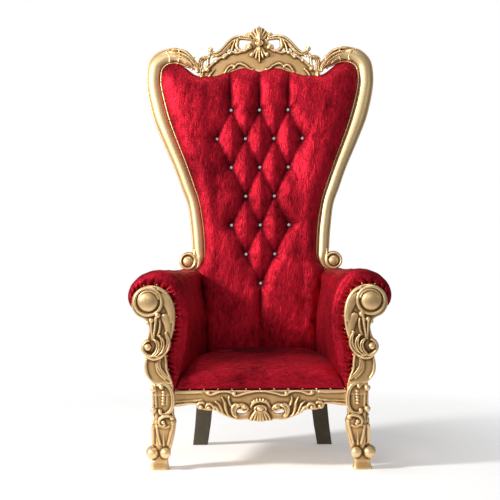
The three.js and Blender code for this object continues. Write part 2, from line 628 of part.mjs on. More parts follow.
/** The board that closes the seat frame and carries the upholstery. */
function seatBoard() {
  const inner = LEG.x - LEG.half - GAP;
  const legEnd = LEG.y + LEG.half + GAP;
  const front = RAIL.front + RAIL.thick + GAP;
  const right = [
    [inner, front], [inner, legEnd], [SIDE_RAIL.frontX - SIDE_RAIL.thick - GAP, legEnd],
    [REAR_RAIL.halfWidth - GAP, REAR_RAIL.y0 - GAP],
  ];
  return slab([...right, ...right.slice().reverse().map(([x, y]) => [-x, y])], RAIL.top - 18, RAIL.top);
}

/** The domed seat between the arms; its rear end follows the reclined back. */
function seatCushion() {
  const { front, roll, frontZ, middleZ, rearZ } = SEAT;
  const end = ARM.taperEnd;
  const depths = [front, front + 5, front + roll, 110, 200, 300, 400, end, end];
  const bottom = RAIL.top + GAP;
  const across = [1, 0.82, 0.45, 0, -0.45, -0.82, -1];
  const rings = depths.map((y, i) => {
    const run = clamp((y - front - roll) / (end - front - roll), 0, 1);
    const dome = Math.sin(Math.PI * Math.min(1, run * 0.75 + 0.02));
    const middle = [frontZ - 45, frontZ - 20, frontZ][i] ?? lerp(frontZ, rearZ, run) + dome * 18;
    const crown = Math.min(middle, middleZ);
    const inner = (z) => xAt(armInner(y), z) - ARM.seatGap;
    const top = across.map((share) => {
      const z = crown - 24 * share ** 4 - 6 * share ** 2;
      return point(share * inner(z), y, z);
    });
    const sides = [bottom, Math.min(ARM_SECTION.front[1][1], top[0].z - 6)];
    return [
      ...sides.map((z) => point(inner(z), y, z)), ...top,
      ...sides.slice().reverse().map((z) => point(-inner(z), y, z)),
    ];
  });
  rings[rings.length - 1].forEach((corner) => corner.setY(panelY(corner.z) - PANEL.lowPad - GAP));
  return loft(rings);
}

// ---------------------------------------------------------------- assembly

const throne = new THREE.Group();

/** Adds a named mesh to the throne. */
function addPiece(name, geometry, material) {
  const mesh = new THREE.Mesh(geometry, material.clone());
  mesh.name = name;
  throne.add(mesh);
  return mesh;
}

/** Adds a right-hand piece and its mirror image. */
function addPair(name, geometry, material) {
  addPiece(`${name}_right`, geometry, material);
  addPiece(`${name}_left`, mirrored(geometry), material);
}

addPiece('crest_rail', crestRail(), gold);
addPair('back_stile', stile(), gold);
addPiece('back_cushion', backCushion(), velvet);
addPiece('outer_back', outerBack(), velvet);
addPair('arm_pad', armPad(), velvet);
addPair('arm_front', armFront(), gold);
addPair('front_leg', frontLeg(), gold);
addPair('rear_leg', rearLeg(), darkWood);
addPiece('seat_rail_front', frontRail(), gold);
addPair('seat_rail', sideRail(), gold);
addPiece('seat_rail_rear', rearRail(), gold);
addPiece('seat_board', seatBoard(), plywood);
addPiece('seat_cushion', seatCushion(), velvet);

let buttonCount = 0;
TUFT_ROWS.forEach((row, level) => row.forEach((step) => {
  buttonCount += 1;
  const z = TUFT.topZ - level * TUFT.dz;
  const button = addPiece(`button_${String(buttonCount).padStart(2, '0')}`, buttonGeometry(), crystal);
  button.position.set(step * TUFT.dx, panelY(z) - TUFT.pit - BUTTON.clear, z);
}));

const bounds = new THREE.Box3().setFromObject(throne);
const middle = bounds.getCenter(point(0, 0, 0));
throne.position.set(-middle.x, -middle.y, -bounds.min.z);

export default throne;
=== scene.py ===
"""A tall carved and gilded throne in crushed red velvet, dressed over its CAD frame.

Shapes are worked out in millimetres in the maker's frame, where x runs to the sitter's left, y runs
backwards from the front of the arm boards and z runs up from the floor. They are placed in the row frame,
in metres, when a mesh is made.
"""
from __future__ import annotations

import logging
import math
from dataclasses import dataclass, field
from enum import Enum
from typing import Iterable, Sequence

import bmesh
import bpy
import numpy as np
from mathutils import Matrix, Vector
from mathutils.geometry import tessellate_polygon


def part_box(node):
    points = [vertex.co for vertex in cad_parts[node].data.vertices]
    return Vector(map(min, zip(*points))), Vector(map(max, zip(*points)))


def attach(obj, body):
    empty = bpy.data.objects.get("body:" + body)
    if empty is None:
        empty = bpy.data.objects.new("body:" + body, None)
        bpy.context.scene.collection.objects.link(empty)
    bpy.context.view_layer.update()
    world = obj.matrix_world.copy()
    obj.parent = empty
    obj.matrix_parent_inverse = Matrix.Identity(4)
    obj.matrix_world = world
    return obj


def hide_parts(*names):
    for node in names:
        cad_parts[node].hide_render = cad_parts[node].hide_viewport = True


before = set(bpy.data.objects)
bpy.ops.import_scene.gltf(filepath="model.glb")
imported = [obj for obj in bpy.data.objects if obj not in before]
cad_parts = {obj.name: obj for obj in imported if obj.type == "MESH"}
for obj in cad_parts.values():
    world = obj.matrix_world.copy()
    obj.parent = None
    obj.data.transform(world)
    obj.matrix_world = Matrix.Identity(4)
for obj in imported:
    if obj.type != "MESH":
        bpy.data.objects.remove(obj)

LOG = logging.getLogger("throne")
BODY = "root"
MM = 0.001
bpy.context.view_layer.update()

FINE_GRAIN, MIDDLE_GRAIN, BROAD_GRAIN = 1.9, 2.1, 2.2

REAR_RAIL_FRONT = 533.0
DEPTH_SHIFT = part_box("seat_rail_rear")[0].y / MM - REAR_RAIL_FRONT

Points = Sequence[Sequence[float]]


class Side(Enum):
    """The two hands of a paired piece, seen from the front."""

    RIGHT = 1
    LEFT = -1

    @property
    def label(self) -> str:
        """The ending of the piece's name."""
        return self.name.lower()


class Section(Enum):
    """How the face of a carved strand rises between its two edges."""

    ROUND = "round"
    KEEL = "keel"
    CUPPED = "cupped"
    TWIN = "twin"
    FLUTED = "fluted"

    def height(self, across: np.ndarray) -> np.ndarray:
        """Gives the height of the face as a share of its rise.

        Args:
            across: Places across the strand, from -1 to 1.

        Returns:
            The height at each place, from 0 to 1.
        """
        dome = np.sqrt(np.clip(1 - across**2, 0, 1))
        if self is Section.ROUND:
            return dome
        if self is Section.KEEL:
            return 1 - np.abs(across) ** 1.4
        if self is Section.CUPPED:
            return (0.5 + 0.6 * across**2) * (1 - across**8)
        if self is Section.TWIN:
            return dome * (1 - 0.5 * np.exp(-((across / 0.26) ** 2)))
        return dome**0.6 * (0.74 + 0.26 * np.cos(3 * math.pi * across))


# ---------------------------------------------------------------- shapes


def spline(points: Points, at: np.ndarray) -> np.ndarray:
    """Follows a smooth line through points.

    Args:
        points: The points, one row each.
        at: Where to follow it, counted in points from the first one.

    Returns:
        One row for each value of `at`.
    """
    table = np.asarray(points, float)
    last = len(table) - 1
    first = np.clip(np.floor(at).astype(int), 0, last - 1)
    share = (at - first)[:, None]
    a, b, c, d = (table[np.clip(first + step, 0, last)] for step in (-1, 0, 1, 2))
    return 0.5 * (
        2 * b + (c - a) * share + (2 * a - 5 * b + 4 * c - d) * share**2 + (3 * b - a - 3 * c + d) * share**3
    )


def run_along(line: np.ndarray) -> np.ndarray:
    """How far each point of a line lies along it in the front view."""
    return np.concatenate([[0], np.cumsum(np.linalg.norm(np.diff(line[:, :2], axis=0), axis=1))])


def sideways(line: np.ndarray) -> np.ndarray:
    """The directions square to a line in the front view, one for each of its points."""
    along = np.gradient(line[:, :2], axis=0)
    along /= np.maximum(np.linalg.norm(along, axis=1), 1e-6)[:, None]
    return np.stack([along[:, 1], -along[:, 0]], 1)


def smooth_line(points: Points, step: float) -> np.ndarray:
    """Follows a smooth line through points at about even steps.

    Args:
        points: The points; the first two columns give the place.
        step: The distance between two rows of the result.

    Returns:
        The points of the line, with all their columns.
    """
    span = len(points) - 1
    dense = spline(points, np.linspace(0, span, span * 24 + 1))
    run = run_along(dense)
    wanted = np.linspace(0, run[-1], max(3, int(round(run[-1] / step)) + 1))
    return np.stack([np.interp(wanted, run, column) for column in dense.T], 1)


def both_sides(half: Points) -> list[list[float]]:
    """An outline that is the same on both sides, from the points of its right half."""
    return [list(p) for p in half] + [[-x, z] for x, z in reversed(half) if x > 0.5]


@dataclass
class Shape:
    """Corners in millimetres and the faces between them."""

    corners: np.ndarray
    faces: list[tuple[int, ...]]

    @staticmethod
    def joined(shapes: Iterable["Shape"]) -> "Shape":
        """Puts several shapes side by side in one."""
        corners: list[np.ndarray] = []
        faces: list[tuple[int, ...]] = []
        start = 0
        for shape in shapes:
            corners.append(shape.corners)
            faces.extend(tuple(int(i) + start for i in face) for face in shape.faces)
            start += len(shape.corners)
        return Shape(np.concatenate(corners), faces)

    def moved(self, x: float = 0, y: float = 0, z: float = 0) -> "Shape":
        """The shape at another place."""
        return Shape(self.corners + np.array([x, y, z]), self.faces)

    def mirrored(self) -> "Shape":
        """The left-hand copy of the shape."""
        return Shape(self.corners * np.array([-1, 1, 1]), [tuple(reversed(face)) for face in self.faces])

    def turned(self, degrees: float) -> "Shape":
        """The shape turned about the upright axis."""
        c, s = math.cos(math.radians(degrees)), math.sin(math.radians(degrees))
        matrix = np.array([[c, s, 0], [-s, c, 0], [0, 0, 1]])
        return Shape(self.corners @ matrix, self.faces)


def loft(rings: np.ndarray) -> Shape:
    """Closes a body through rings of equally many corners.

    Args:
        rings: Corners by ring, by place on the ring, by axis.

    Returns:
        The body, with one face over each end.
    """
    count, sides, _ = rings.shape
    index = np.arange(count * sides).reshape(count, sides)
    nxt = np.roll(index, -1, axis=1)
    quads = np.stack([index[:-1], nxt[:-1], nxt[1:], index[1:]], -1).reshape(-1, 4)
    faces = [tuple(face) for face in quads.tolist()]
    faces.append(tuple(reversed(index[0].tolist())))
    faces.append(tuple(index[-1].tolist()))
    return Shape(rings.reshape(-1, 3), faces)


def swept(line: np.ndarray, half: np.ndarray, places: np.ndarray, front: np.ndarray) -> np.ndarray:
    """Rings square to a line in the front view.

    Args:
        line: The line, one row for each ring.
        half: Half the width of each ring.
        places: Where each corner lies across a ring, from -1 to 1.
        front: How far forwards each corner lies, by ring and by corner.

    Returns:
        Corners by ring, by place on the ring, by axis.
    """
    side = sideways(line)
    rings = np.zeros((len(line), len(places), 3))
    rings[:, :, 0] = line[:, :1] + side[:, :1] * half[:, None] * places
    rings[:, :, 2] = line[:, 1:2] + side[:, 1:] * half[:, None] * places
    rings[:, :, 1] = -front
    return rings


def turned_boss(x: float, z: float, profile: Points, tall: float = 1.0, sides: int = 48) -> Shape:
    """A turned boss that faces the front.

    Args:
        x: Its middle across.
        z: Its middle height.
        profile: Pairs of radius and height in front of the ground, from its back to its middle.
        tall: Its height as a share of its width.
        sides: How many corners it has round its edge.

    Returns:
        The boss.
    """
    turns = np.linspace(0, 2 * math.pi, sides, endpoint=False)
    rings = np.stack([
        np.stack([
            x + max(radius, 0.2) * np.cos(turns),
            np.full_like(turns, -front),
            z + tall * max(radius, 0.2) * np.sin(turns),
        ], 1)
        for radius, front in profile
    ])
    return loft(rings)


def ball(x: float, z: float, radius: float, depth: float = 0.0, tall: float = 1.0) -> Shape:
    """A round carved ball, with its middle at a depth forwards from the carving's ground."""
    tilts = np.linspace(0.12, math.pi - 0.12, 11)
    profile = [(radius * math.sin(tilt), depth + radius * math.cos(tilt)) for tilt in tilts]
    return turned_boss(x, z, profile, tall, 20)


def strand(
    stations: Points,
    rise: float = 10.0,
    section: Section = Section.ROUND,
    base: float = 0.0,
    back: float = 8.0,
) -> Shape:
    """A carved strand in the front view, with rounded ends.

    Args:
        stations: Rows of x, z and half width.
        rise: How far its face stands in front of its base.
        section: How its face rises.
        base: Its foot, forwards from the carving's ground.
        back: How far it reaches behind its foot.

    Returns:
        The strand.
    """
    line = smooth_line(stations, 2.6)
    run = run_along(line)
    half = np.maximum(line[:, 2], 0.8)
    tip = np.clip(1 - np.minimum(run, run[-1] - run) / half, 0, 1)
    half = half * np.sqrt(np.clip(1 - 0.9 * tip**2, 0.04, 1))
    places = np.linspace(-1, 1, 11)
    height = rise * np.minimum(1, 0.4 + half / 7)
    front = base + height[:, None] * section.height(places)
    foot = np.full((len(line), 2), base - back)
    return loft(swept(line, half, np.append(places, [1, -1]), np.hstack([front, foot])))


def curl(
    x: float, z: float, radii: tuple[float, float], angles: tuple[float, float], halves: tuple[float, float]
) -> list[list[float]]:
    """Stations of a spiral.

    Args:
        x: Its middle across.
        z: Its middle height.
        radii: Its first and last radius.
        angles: Its first and last angle, in degrees from the right.
        halves: Its first and last half width.

    Returns:
        Rows of x, z and half width.
    """
    count = max(5, int(abs(angles[1] - angles[0]) / 28))
    rows = []
    for share in np.linspace(0, 1, count):
        angle = math.radians(angles[0] + (angles[1] - angles[0]) * share)
        radius = radii[0] + (radii[1] - radii[0]) * share
        half = halves[0] + (halves[1] - halves[0]) * share
        rows.append([x + radius * math.cos(angle), z + radius * math.sin(angle), half])
    return rows


def ellipse(x: float, z: float, wide: float, tall: float, count: int = 28) -> list[list[float]]:
    """Points of an ellipse in the front view."""
    turns = np.linspace(0, 2 * math.pi, count, endpoint=False)
    return [[x + wide * math.cos(turn), z + tall * math.sin(turn)] for turn in turns]


def plate(outline: Points, front: float, back: float, holes: Sequence[Points] = ()) -> Shape:
    """A flat board in the front view.

    Args:
        outline: Its outline as rows of x and z.
        front: Its face, forwards from the carving's ground.
        back: Its back, backwards from the carving's ground.
        holes: The outlines of its holes.

    Returns:
        The board.
    """
    loops = [[Vector((p[0], p[1], 0)) for p in loop] for loop in (outline, *holes)]
    flat = [point for loop in loops for point in loop]
    count = len(flat)
    corners = np.array([[p.x, -front, p.y] for p in flat] + [[p.x, back, p.y] for p in flat])
    faces: list[tuple[int, ...]] = []
    for a, b, c in tessellate_polygon(loops):
        faces += [(a, b, c), (c + count, b + count, a + count)]
    start = 0
    for loop in loops:
        for k in range(len(loop)):
            a, b = start + k, start + (k + 1) % len(loop)
            faces.append((a, b, b + count, a + count))
        start += len(loop)
    return Shape(corners, faces)


# ---------------------------------------------------------------- meshes


def placed(corners: np.ndarray) -> np.ndarray:
    """Corners in the row frame, in metres."""
    return (corners + np.array([0, DEPTH_SHIFT, 0])) * MM


def mesh_of(name: str, shape: Shape) -> bpy.types.Mesh:
    """A mesh of a shape, with its doubles merged and its faces pointing out."""
    mesh = bpy.data.meshes.new(name)
    mesh.from_pydata(placed(shape.corners).tolist(), [], shape.faces)
    work = bmesh.new()
    work.from_mesh(mesh)
    bmesh.ops.remove_doubles(work, verts=work.verts, dist=0.00005)
    bmesh.ops.recalc_face_normals(work, faces=work.faces)
    work.to_mesh(mesh)
    work.free()
    return mesh


def object_of(mesh: bpy.types.Mesh) -> bpy.types.Object:
    """An object at the origin that shows a mesh."""
    piece = bpy.data.objects.new(mesh.name, mesh)
    bpy.context.scene.collection.objects.link(piece)
    return piece


def baked(piece: bpy.types.Object) -> bpy.types.Object:
    """Turns an object's modifiers into its mesh."""
    depsgraph = bpy.context.evaluated_depsgraph_get()
    mesh = bpy.data.meshes.new_from_object(piece.evaluated_get(depsgraph))
    piece.modifiers.clear()
    old, name = piece.data, piece.name
    piece.data = mesh
    if isinstance(old, bpy.types.Mesh):
        bpy.data.meshes.remove(old)
    mesh.name = name
    return piece


def moved_to(piece: bpy.types.Object, corners: np.ndarray) -> bpy.types.Object:
    """Moves a piece's corners, in metres."""
    piece.data.vertices.foreach_set("co", corners.ravel())
    return piece


def pressed(
    piece: bpy.types.Object,
    low: Sequence[float] = (-math.inf, -math.inf, -math.inf),
    high: Sequence[float] = (math.inf, math.inf, math.inf),
) -> bpy.types.Object:
    """Presses what reaches past a box in the maker's frame back to its sides."""
    corners = np.clip(numbers(piece.data, "co"), placed(np.array(low)), placed(np.array(high)))
    return moved_to(piece, corners)


def numbers(mesh: bpy.types.Mesh, what: str, width: int = 3) -> np.ndarray:
    """A table of a mesh's corners, normals or edges."""
    source = mesh.edges if what == "vertices" and width == 2 else mesh.vertices
    values = np.zeros(len(source) * width, int if width == 2 else float)
    source.foreach_get(what, values)
    return values.reshape(-1, width)


def relaxed(points: np.ndarray, edges: np.ndarray, share: float) -> np.ndarray:
    """Moves each point towards the middle of its neighbours.

    Args:
        points: The points.
        edges: Pairs of neighbours.
        share: How much of the way they move.

    Returns:
        The moved points.
    """
    count = len(points)
    degree = np.maximum(np.bincount(edges.ravel(), minlength=count), 1)
    near = np.stack([
        np.bincount(edges[:, 0], points[edges[:, 1], k], count)
        + np.bincount(edges[:, 1], points[edges[:, 0], k], count)
        for k in range(points.shape[1])
    ], 1)
    return points + share * (near / degree[:, None] - points)


def mark_hollows(mesh: bpy.types.Mesh, reach: int, full: float = 1.3) -> None:
    """Stores how deep each corner lies in the carving, as the attribute `hollow`.

    Args:
        mesh: The mesh.
        reach: How many neighbours away the surface is compared.
        full: The depth in millimetres that counts as 1.
    """
    corners = numbers(mesh, "co")
    edges = numbers(mesh, "vertices", 2)
    even = corners
    for _ in range(reach):
        even = relaxed(even, edges, 0.9)
    depth = ((even - corners) * numbers(mesh, "normal")).sum(1) / MM / full
    depth = relaxed(np.clip(depth, -1, 1)[:, None], edges, 0.5)[:, 0]
    layer = mesh.attributes.new("hollow", "FLOAT", "POINT")
    layer.data.foreach_set("value", depth.astype(np.float32))


def fused(name: str, shapes: Iterable[Shape], voxel: float = 2.0, rounds: int = 4) -> bpy.types.Object:
    """Fuses overlapping forms into one carved skin.

    Args:
        name: The piece's name.
        shapes: The forms.
        voxel: The grain of the skin in millimetres.
        rounds: How often the skin is smoothed.

    Returns:
        The carved piece, with its hollows marked.
    """
    piece = object_of(mesh_of(name, Shape.joined(shapes)))
    remesh = piece.modifiers.new("skin", "REMESH")
    remesh.mode = "VOXEL"
    remesh.voxel_size = voxel * MM
    baked(piece)
    edges = numbers(piece.data, "vertices", 2)
    corners = numbers(piece.data, "co")
    for _ in range(rounds):
        corners = relaxed(relaxed(corners, edges, 0.6), edges, -0.62)
    corners = relaxed(corners, edges, 0.4)
    moved_to(piece, corners).data.update()
    mark_hollows(piece.data, 14)
    return piece


def shaded_smooth(piece: bpy.types.Object) -> None:
    """Shades every face of a piece smooth."""
    piece.data.polygons.foreach_set("use_smooth", np.ones(len(piece.data.polygons), bool))


def settle(
    piece: bpy.types.Object,
    material: bpy.types.Material,
    nodes: Sequence[str] = (),
) -> bpy.types.Object:
    """Gives a finished piece its material and its place on the throne.

    Args:
        piece: The piece.
        material: Its finish.
        nodes: The CAD nodes that it stands for.

    Returns:
        The piece.
    """
    piece.data.materials.clear()
    piece.data.materials.append(material)
    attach(piece, BODY)
    if nodes:
        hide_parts(*nodes)
    LOG.info("%s: %d faces", piece.name, len(piece.data.polygons))
    return piece


def mirrored_copy(piece: bpy.types.Object, name: str) -> bpy.types.Object:
    """The left-hand copy of a finished right-hand piece, with its attributes."""
    mesh = piece.data.copy()
    mesh.name = name
    mesh.transform(Matrix.Diagonal((-1, 1, 1, 1)))
    mesh.flip_normals()
    return object_of(mesh)


class Wander:
    """Smooth seeded noise in up to three directions, made of waves."""

    def __init__(self, seed: int, size: float, waves: int = 14) -> None:
        """Draws the waves.

        Args:
            seed: The seed.
            size: The usual distance between two rises, in millimetres.
            waves: How many waves there are.
        """
        draw = np.random.default_rng(seed)
        way = draw.normal(size=(waves, 3))
        way /= np.linalg.norm(way, axis=1)[:, None]
        self.waves = way * (2 * math.pi / size) * draw.uniform(0.55, 1.6, waves)[:, None]
        self.starts = draw.uniform(0, 2 * math.pi, waves)

    def __call__(self, points: np.ndarray) -> np.ndarray:
        """The noise at points, about from -1 to 1."""
        total = np.zeros(len(points))
        for wave, start in zip(self.waves, self.starts):
            total += np.sin(points @ wave + start)
        return total / math.sqrt(len(self.waves))


# ---------------------------------------------------------------- the reclined back


@dataclass(frozen=True)
class Recline:
    """The leaning plane between the inner and the outer back."""

    y: float = 605.0
    z: float = 800.0
    slope: float = 0.15
    thick: float = 52.0

    def depth(self, z: np.ndarray | float) -> np.ndarray | float:
        """How far back the plane lies at a height."""
        return self.y + self.slope * (z - self.z)

    def lean(self, shape: Shape) -> Shape:
        """Leans a shape whose depths were measured from the plane."""
        corners = shape.corners.copy()
        corners[:, 1] += self.depth(corners[:, 2])
        return Shape(corners, shape.faces)


RECLINE = Recline()

BACK_SIDE = (
    (236, 317), (236, 450), (239, 583), (260, 708), (262, 770), (242, 833), (247, 958), (271, 1083),
    (314, 1208), (361, 1333), (400, 1458), (423, 1534),
)
BACK_TOP = (
    (0, 1634), (62, 1645), (124, 1636), (186, 1613.5), (236, 1611.5), (280, 1615), (338, 1657), (381, 1667),
    (412, 1650), (431, 1610),
)
STILE_LINE = (
    (312, 768, 3), (291, 769, 7), (273, 781, 12), (265, 802, 18), (264, 826, 24), (268, 855, 28),
    (273, 935, 29), (289, 1050, 28), (315, 1128, 29.5), (346, 1215, 30), (383, 1305, 32), (411, 1375, 34),
    (432, 1435, 36), (450, 1505, 36), (462, 1570, 35), (462, 1622, 35), (452, 1662, 36), (421, 1691, 36),
    (381, 1700, 34), (343, 1693, 31), (314, 1677, 27), (290, 1662, 20), (262, 1644, 12),
)


@dataclass
class BackOutline:
    """The outline that the inner and the outer back share."""

    columns: int = 9
    tufted: float = 186.0
    tufted_columns: int = 3
    shoulder: float = 1534.0
    bottom: float = 317.0

    def points(self, column: np.ndarray, row: np.ndarray) -> np.ndarray:
        """Finds places on the back.

        Args:
            column: Columns from the middle, from -9 to 9.
            row: Rows, from 0 at the bottom to 1 at the shoulder and 2 at the top edge.

        Returns:
            x and z of each place.
        """
        side = smooth_line(BACK_SIDE, 4.0)
        c = np.abs(column)
        low = np.clip(row, 0, 1)
        z = self.bottom + (self.shoulder - self.bottom) * low
        edge = np.interp(z, side[:, 1], side[:, 0]) + 12.0 * np.clip((796 - z) / 30, 0, 1)
        outer = (c - self.tufted_columns) / (self.columns - self.tufted_columns)
        x = np.where(c <= self.tufted_columns, c * self.tufted / self.tufted_columns,
                     self.tufted + (edge - self.tufted) * outer)
        top = spline(BACK_TOP, c)
        high = np.clip(row - 1, 0, 1)
        x = x + (top[:, 0] - x) * high
        z = z + (top[:, 1] - z) * high
        return np.stack([x * np.sign(column), z], 1)


@dataclass
class TuftedBack:
    """The padded inner back with its diamond folds."""

    outline: BackOutline = field(default_factory=BackOutline)
    pitch_x: float = 62.0
    pitch_z: float = 125.0
    top_row: float = 1458.0
    rows: tuple[tuple[int, ...], ...] = (
        (-2, 0, 2), (-3, -1, 1, 3), (-2, 0, 2), (-1, 1), (-2, 0, 2), (-1, 1), (0,),
    )
    pit: float = 12.0
    button_clear: float = 1.8
    fullness: float = 43.0
    wing_fullness: float = 13.0
    edge_fullness: float = 10.0
    roll: float = 62.0
    low_fullness: float = 30.0
    fold_width: float = 62.0
    pleat_width: float = 44.0
    pit_depth: float = 31.0
    pit_width: float = 24.0
    wrinkle: float = 1.8

    def buttons(self) -> np.ndarray:
        """x and z of every button, row by row from the top."""
        return np.array([
            [step * self.pitch_x, self.top_row - level * self.pitch_z]
            for level, row in enumerate(self.rows) for step in row
        ])

    def folds(self) -> list[tuple[np.ndarray, np.ndarray, float, float]]:
        """The folds of the cover: two ends, the depth at the ends and the depth half way."""
        found = []
        places = self.buttons()
        for k, a in enumerate(places):
            for b in places[k + 1:]:
                if abs(abs(a[0] - b[0]) - self.pitch_x) < 1 and abs(a[1] - b[1] - self.pitch_z) < 1:
                    found.append((a, b, 30.0, 13.0))
        for step in self.rows[0]:
            x = step * self.pitch_x
            found.append((np.array([x, self.top_row]), np.array([x * 1.04, 1640.0]), 24.0, 13.0))
        for sign in (-1, 1):
            found.append((np.array([sign * 186.0, 1333.0]), np.array([sign * 330.0, 1338.0]), 12.0, 2.0))
            found.append((np.array([sign * 124.0, 958.0]), np.array([sign * 205.0, 970.0]), 9.0, 1.0))
            found.append((np.array([sign * 124.0, 1208.0]), np.array([sign * 215.0, 1222.0]), 9.0, 1.0))
        found.append((np.array([0.0, 708.0]), np.array([0.0, 430.0]), 20.0, 8.0))
        return found

    def fullness_at(self, x: np.ndarray, z: np.ndarray, column: np.ndarray, row: np.ndarray) -> np.ndarray:
        """How far the stuffing stands in front of the reclined plane, before it is tufted."""
        tufted, columns = self.outline.tufted, self.outline.tufted_columns
        outer = np.clip((np.abs(column) - columns) / (self.outline.columns - columns), 0, 1)
        edge = self.outline.points(np.full_like(x, self.outline.columns), row)[:, 0]
        wide = np.clip((edge - tufted - 50) / 150, 0, 1)
        full = self.fullness + self.wing_fullness * wide * np.sin(math.pi * outer) ** 1.3
        low = np.clip((z - 330) / 190, 0, 1)
        stuffing = self.low_fullness + (full - self.low_fullness) * low * low * (3 - 2 * low)
        inward = np.clip((edge - np.abs(x)) / self.roll, 0, 1)
        stuffing = self.edge_fullness + (stuffing - self.edge_fullness) * np.sqrt(1 - (1 - inward) ** 2.2)
        return stuffing + (self.edge_fullness - stuffing) * np.clip(row - 1, 0, 1) ** 3.2

    def groove_at(self, x: np.ndarray, z: np.ndarray) -> np.ndarray:
        """How deep the folds between the buttons are."""
        groove = np.zeros_like(x)
        for a, b, ends, middle in self.folds():
            way = b - a
            share = np.clip(((x - a[0]) * way[0] + (z - a[1]) * way[1]) / (way @ way), 0, 1)
            far = np.hypot(x - a[0] - share * way[0], z - a[1] - share * way[1])
            is_level = abs(way[1]) < 30
            is_pleat = abs(way[0]) < 10 or is_level
            bend = (1 - share) ** 1.6 if is_pleat else np.abs(2 * share - 1) ** 1.5
            depth = middle + (ends - middle) * bend
            if is_level:
                depth = depth * np.clip((1 - share) * 3, 0, 1)
            width = self.pleat_width if is_pleat else self.fold_width
            groove = np.maximum(groove, depth * (1 - np.clip(far / width, 0, 1)) ** 1.7)
        return groove

    def relief(self, x: np.ndarray, z: np.ndarray, column: np.ndarray, row: np.ndarray) -> np.ndarray:
        """How far the cover stands in front of the reclined plane.

        Args:
            x: Places across.
            z: Their heights.
            column: Their columns on the outline.
            row: Their rows on the outline.

        Returns:
            The height of the cover at each place.
        """
        stuffing = self.fullness_at(x, z, column, row)
        near = np.full_like(x, 1e9)
        wrinkle = np.zeros_like(x)
        for k, (bx, bz) in enumerate(self.buttons()):
            far = np.hypot(x - bx, z - bz)
            near = np.minimum(near, far)
            angle = np.arctan2(z - bz, x - bx)
            rays = np.cos(9 * angle + k) + 0.6 * np.cos(14 * angle + 2.3 * k)
            wrinkle += self.wrinkle * rays * np.exp(-far / 22) * (1 - np.exp(-far / 7))
        pit = self.pit_depth * np.exp(-((near / self.pit_width) ** 1.2))
        groove = np.maximum(self.groove_at(x, z), pit)
        fade = np.clip(stuffing / 30, 0, 1)
        stretched = np.stack([x, z * 0.35, np.zeros_like(x)], 1)
        soft = 1.6 * Wander(3, 110)(stretched) + 0.7 * Wander(4, 34)(stretched)
        return stuffing - groove * fade + (wrinkle + soft) * fade

    def build(self) -> bpy.types.Object:
        """Makes the cushion."""
        half = 105
        column = np.linspace(-9, 9, 2 * half + 1)
        levels = np.concatenate([
            np.linspace(0, 0.12, 12, endpoint=False), np.linspace(0.12, 1, 236, endpoint=False),
            1 + np.linspace(0, 1, 34) ** 0.85,
        ])
        c, r = np.meshgrid(column, levels)
        flat = self.outline.points(c.ravel(), r.ravel())
        front = self.relief(flat[:, 0], flat[:, 1], c.ravel(), r.ravel())
        corners = np.stack([flat[:, 0], -front, flat[:, 1]], 1).reshape(len(levels), len(column), 3)
        piece = object_of(mesh_of("back_cushion", RECLINE.lean(closed_sheet(corners, 0.35))))
        mark_hollows(piece.data, 30, 5.0)
        return piece


def closed_sheet(corners: np.ndarray, back: float) -> Shape:
    """Closes a grid that faces the front with walls and a flat back.

    Args:
        corners: Corners of the grid by row, by column, by axis.
        back: How far in front of the plane the back lies.

    Returns:
        The closed shape.
    """
    rows, columns, _ = corners.shape
    index = np.arange(rows * columns).reshape(rows, columns)
    quads = np.stack([index[:-1, :-1], index[:-1, 1:], index[1:, 1:], index[1:, :-1]], -1).reshape(-1, 4)
    rim = np.concatenate([index[0], index[1:, -1], index[-1, -2::-1], index[-2:0:-1, 0]])
    behind = corners.reshape(-1, 3)[rim].copy()
    behind[:, 1] = -back
    start = rows * columns
    count = len(rim)
    faces = [tuple(face) for face in quads.tolist()]
    for k in range(count):
        nxt = (k + 1) % count
        faces.append((int(rim[nxt]), int(rim[k]), start + k, start + nxt))
    faces.append(tuple(range(start, start + count))[::-1])
    return Shape(np.concatenate([corners.reshape(-1, 3), behind]), faces)


@dataclass
class OuterBack:
    """The covered board behind the inner back."""

    outline: BackOutline = field(default_factory=BackOutline)
    edge: float = 43.0
    gap: float = 0.35

    def build(self) -> bpy.types.Object:
        """Makes the covered board, softly crowned towards the room."""
        column = np.linspace(-9, 9, 91)
        levels = np.concatenate([np.linspace(0, 1, 110, endpoint=False), np.linspace(1, 2, 16)])
        c, r = np.meshgrid(column, levels)
        c, r = c.ravel(), r.ravel()
        flat = self.outline.points(c, r)
        inward = np.clip((9 - np.abs(c)) / 2.2, 0, 1)
        upward = np.clip((2 - r) / 0.25, 0, 1) * np.clip(r / 0.05, 0, 1)
        crown = np.sqrt(1 - (1 - inward) ** 2) * np.sqrt(1 - (1 - upward) ** 2)
        points = np.stack([flat[:, 0], flat[:, 1], 0 * c], 1)
        drape = 0.9 * Wander(11, 150)(points * np.array([1, 0.5, 1])) * inward
        behind = self.edge + (RECLINE.thick - 1.5 - self.edge) * crown + drape * crown
        corners = np.stack([flat[:, 0], behind, flat[:, 1]], 1).reshape(len(levels), len(column), 3)
        return object_of(mesh_of("outer_back", RECLINE.lean(closed_sheet(corners, -self.gap))))


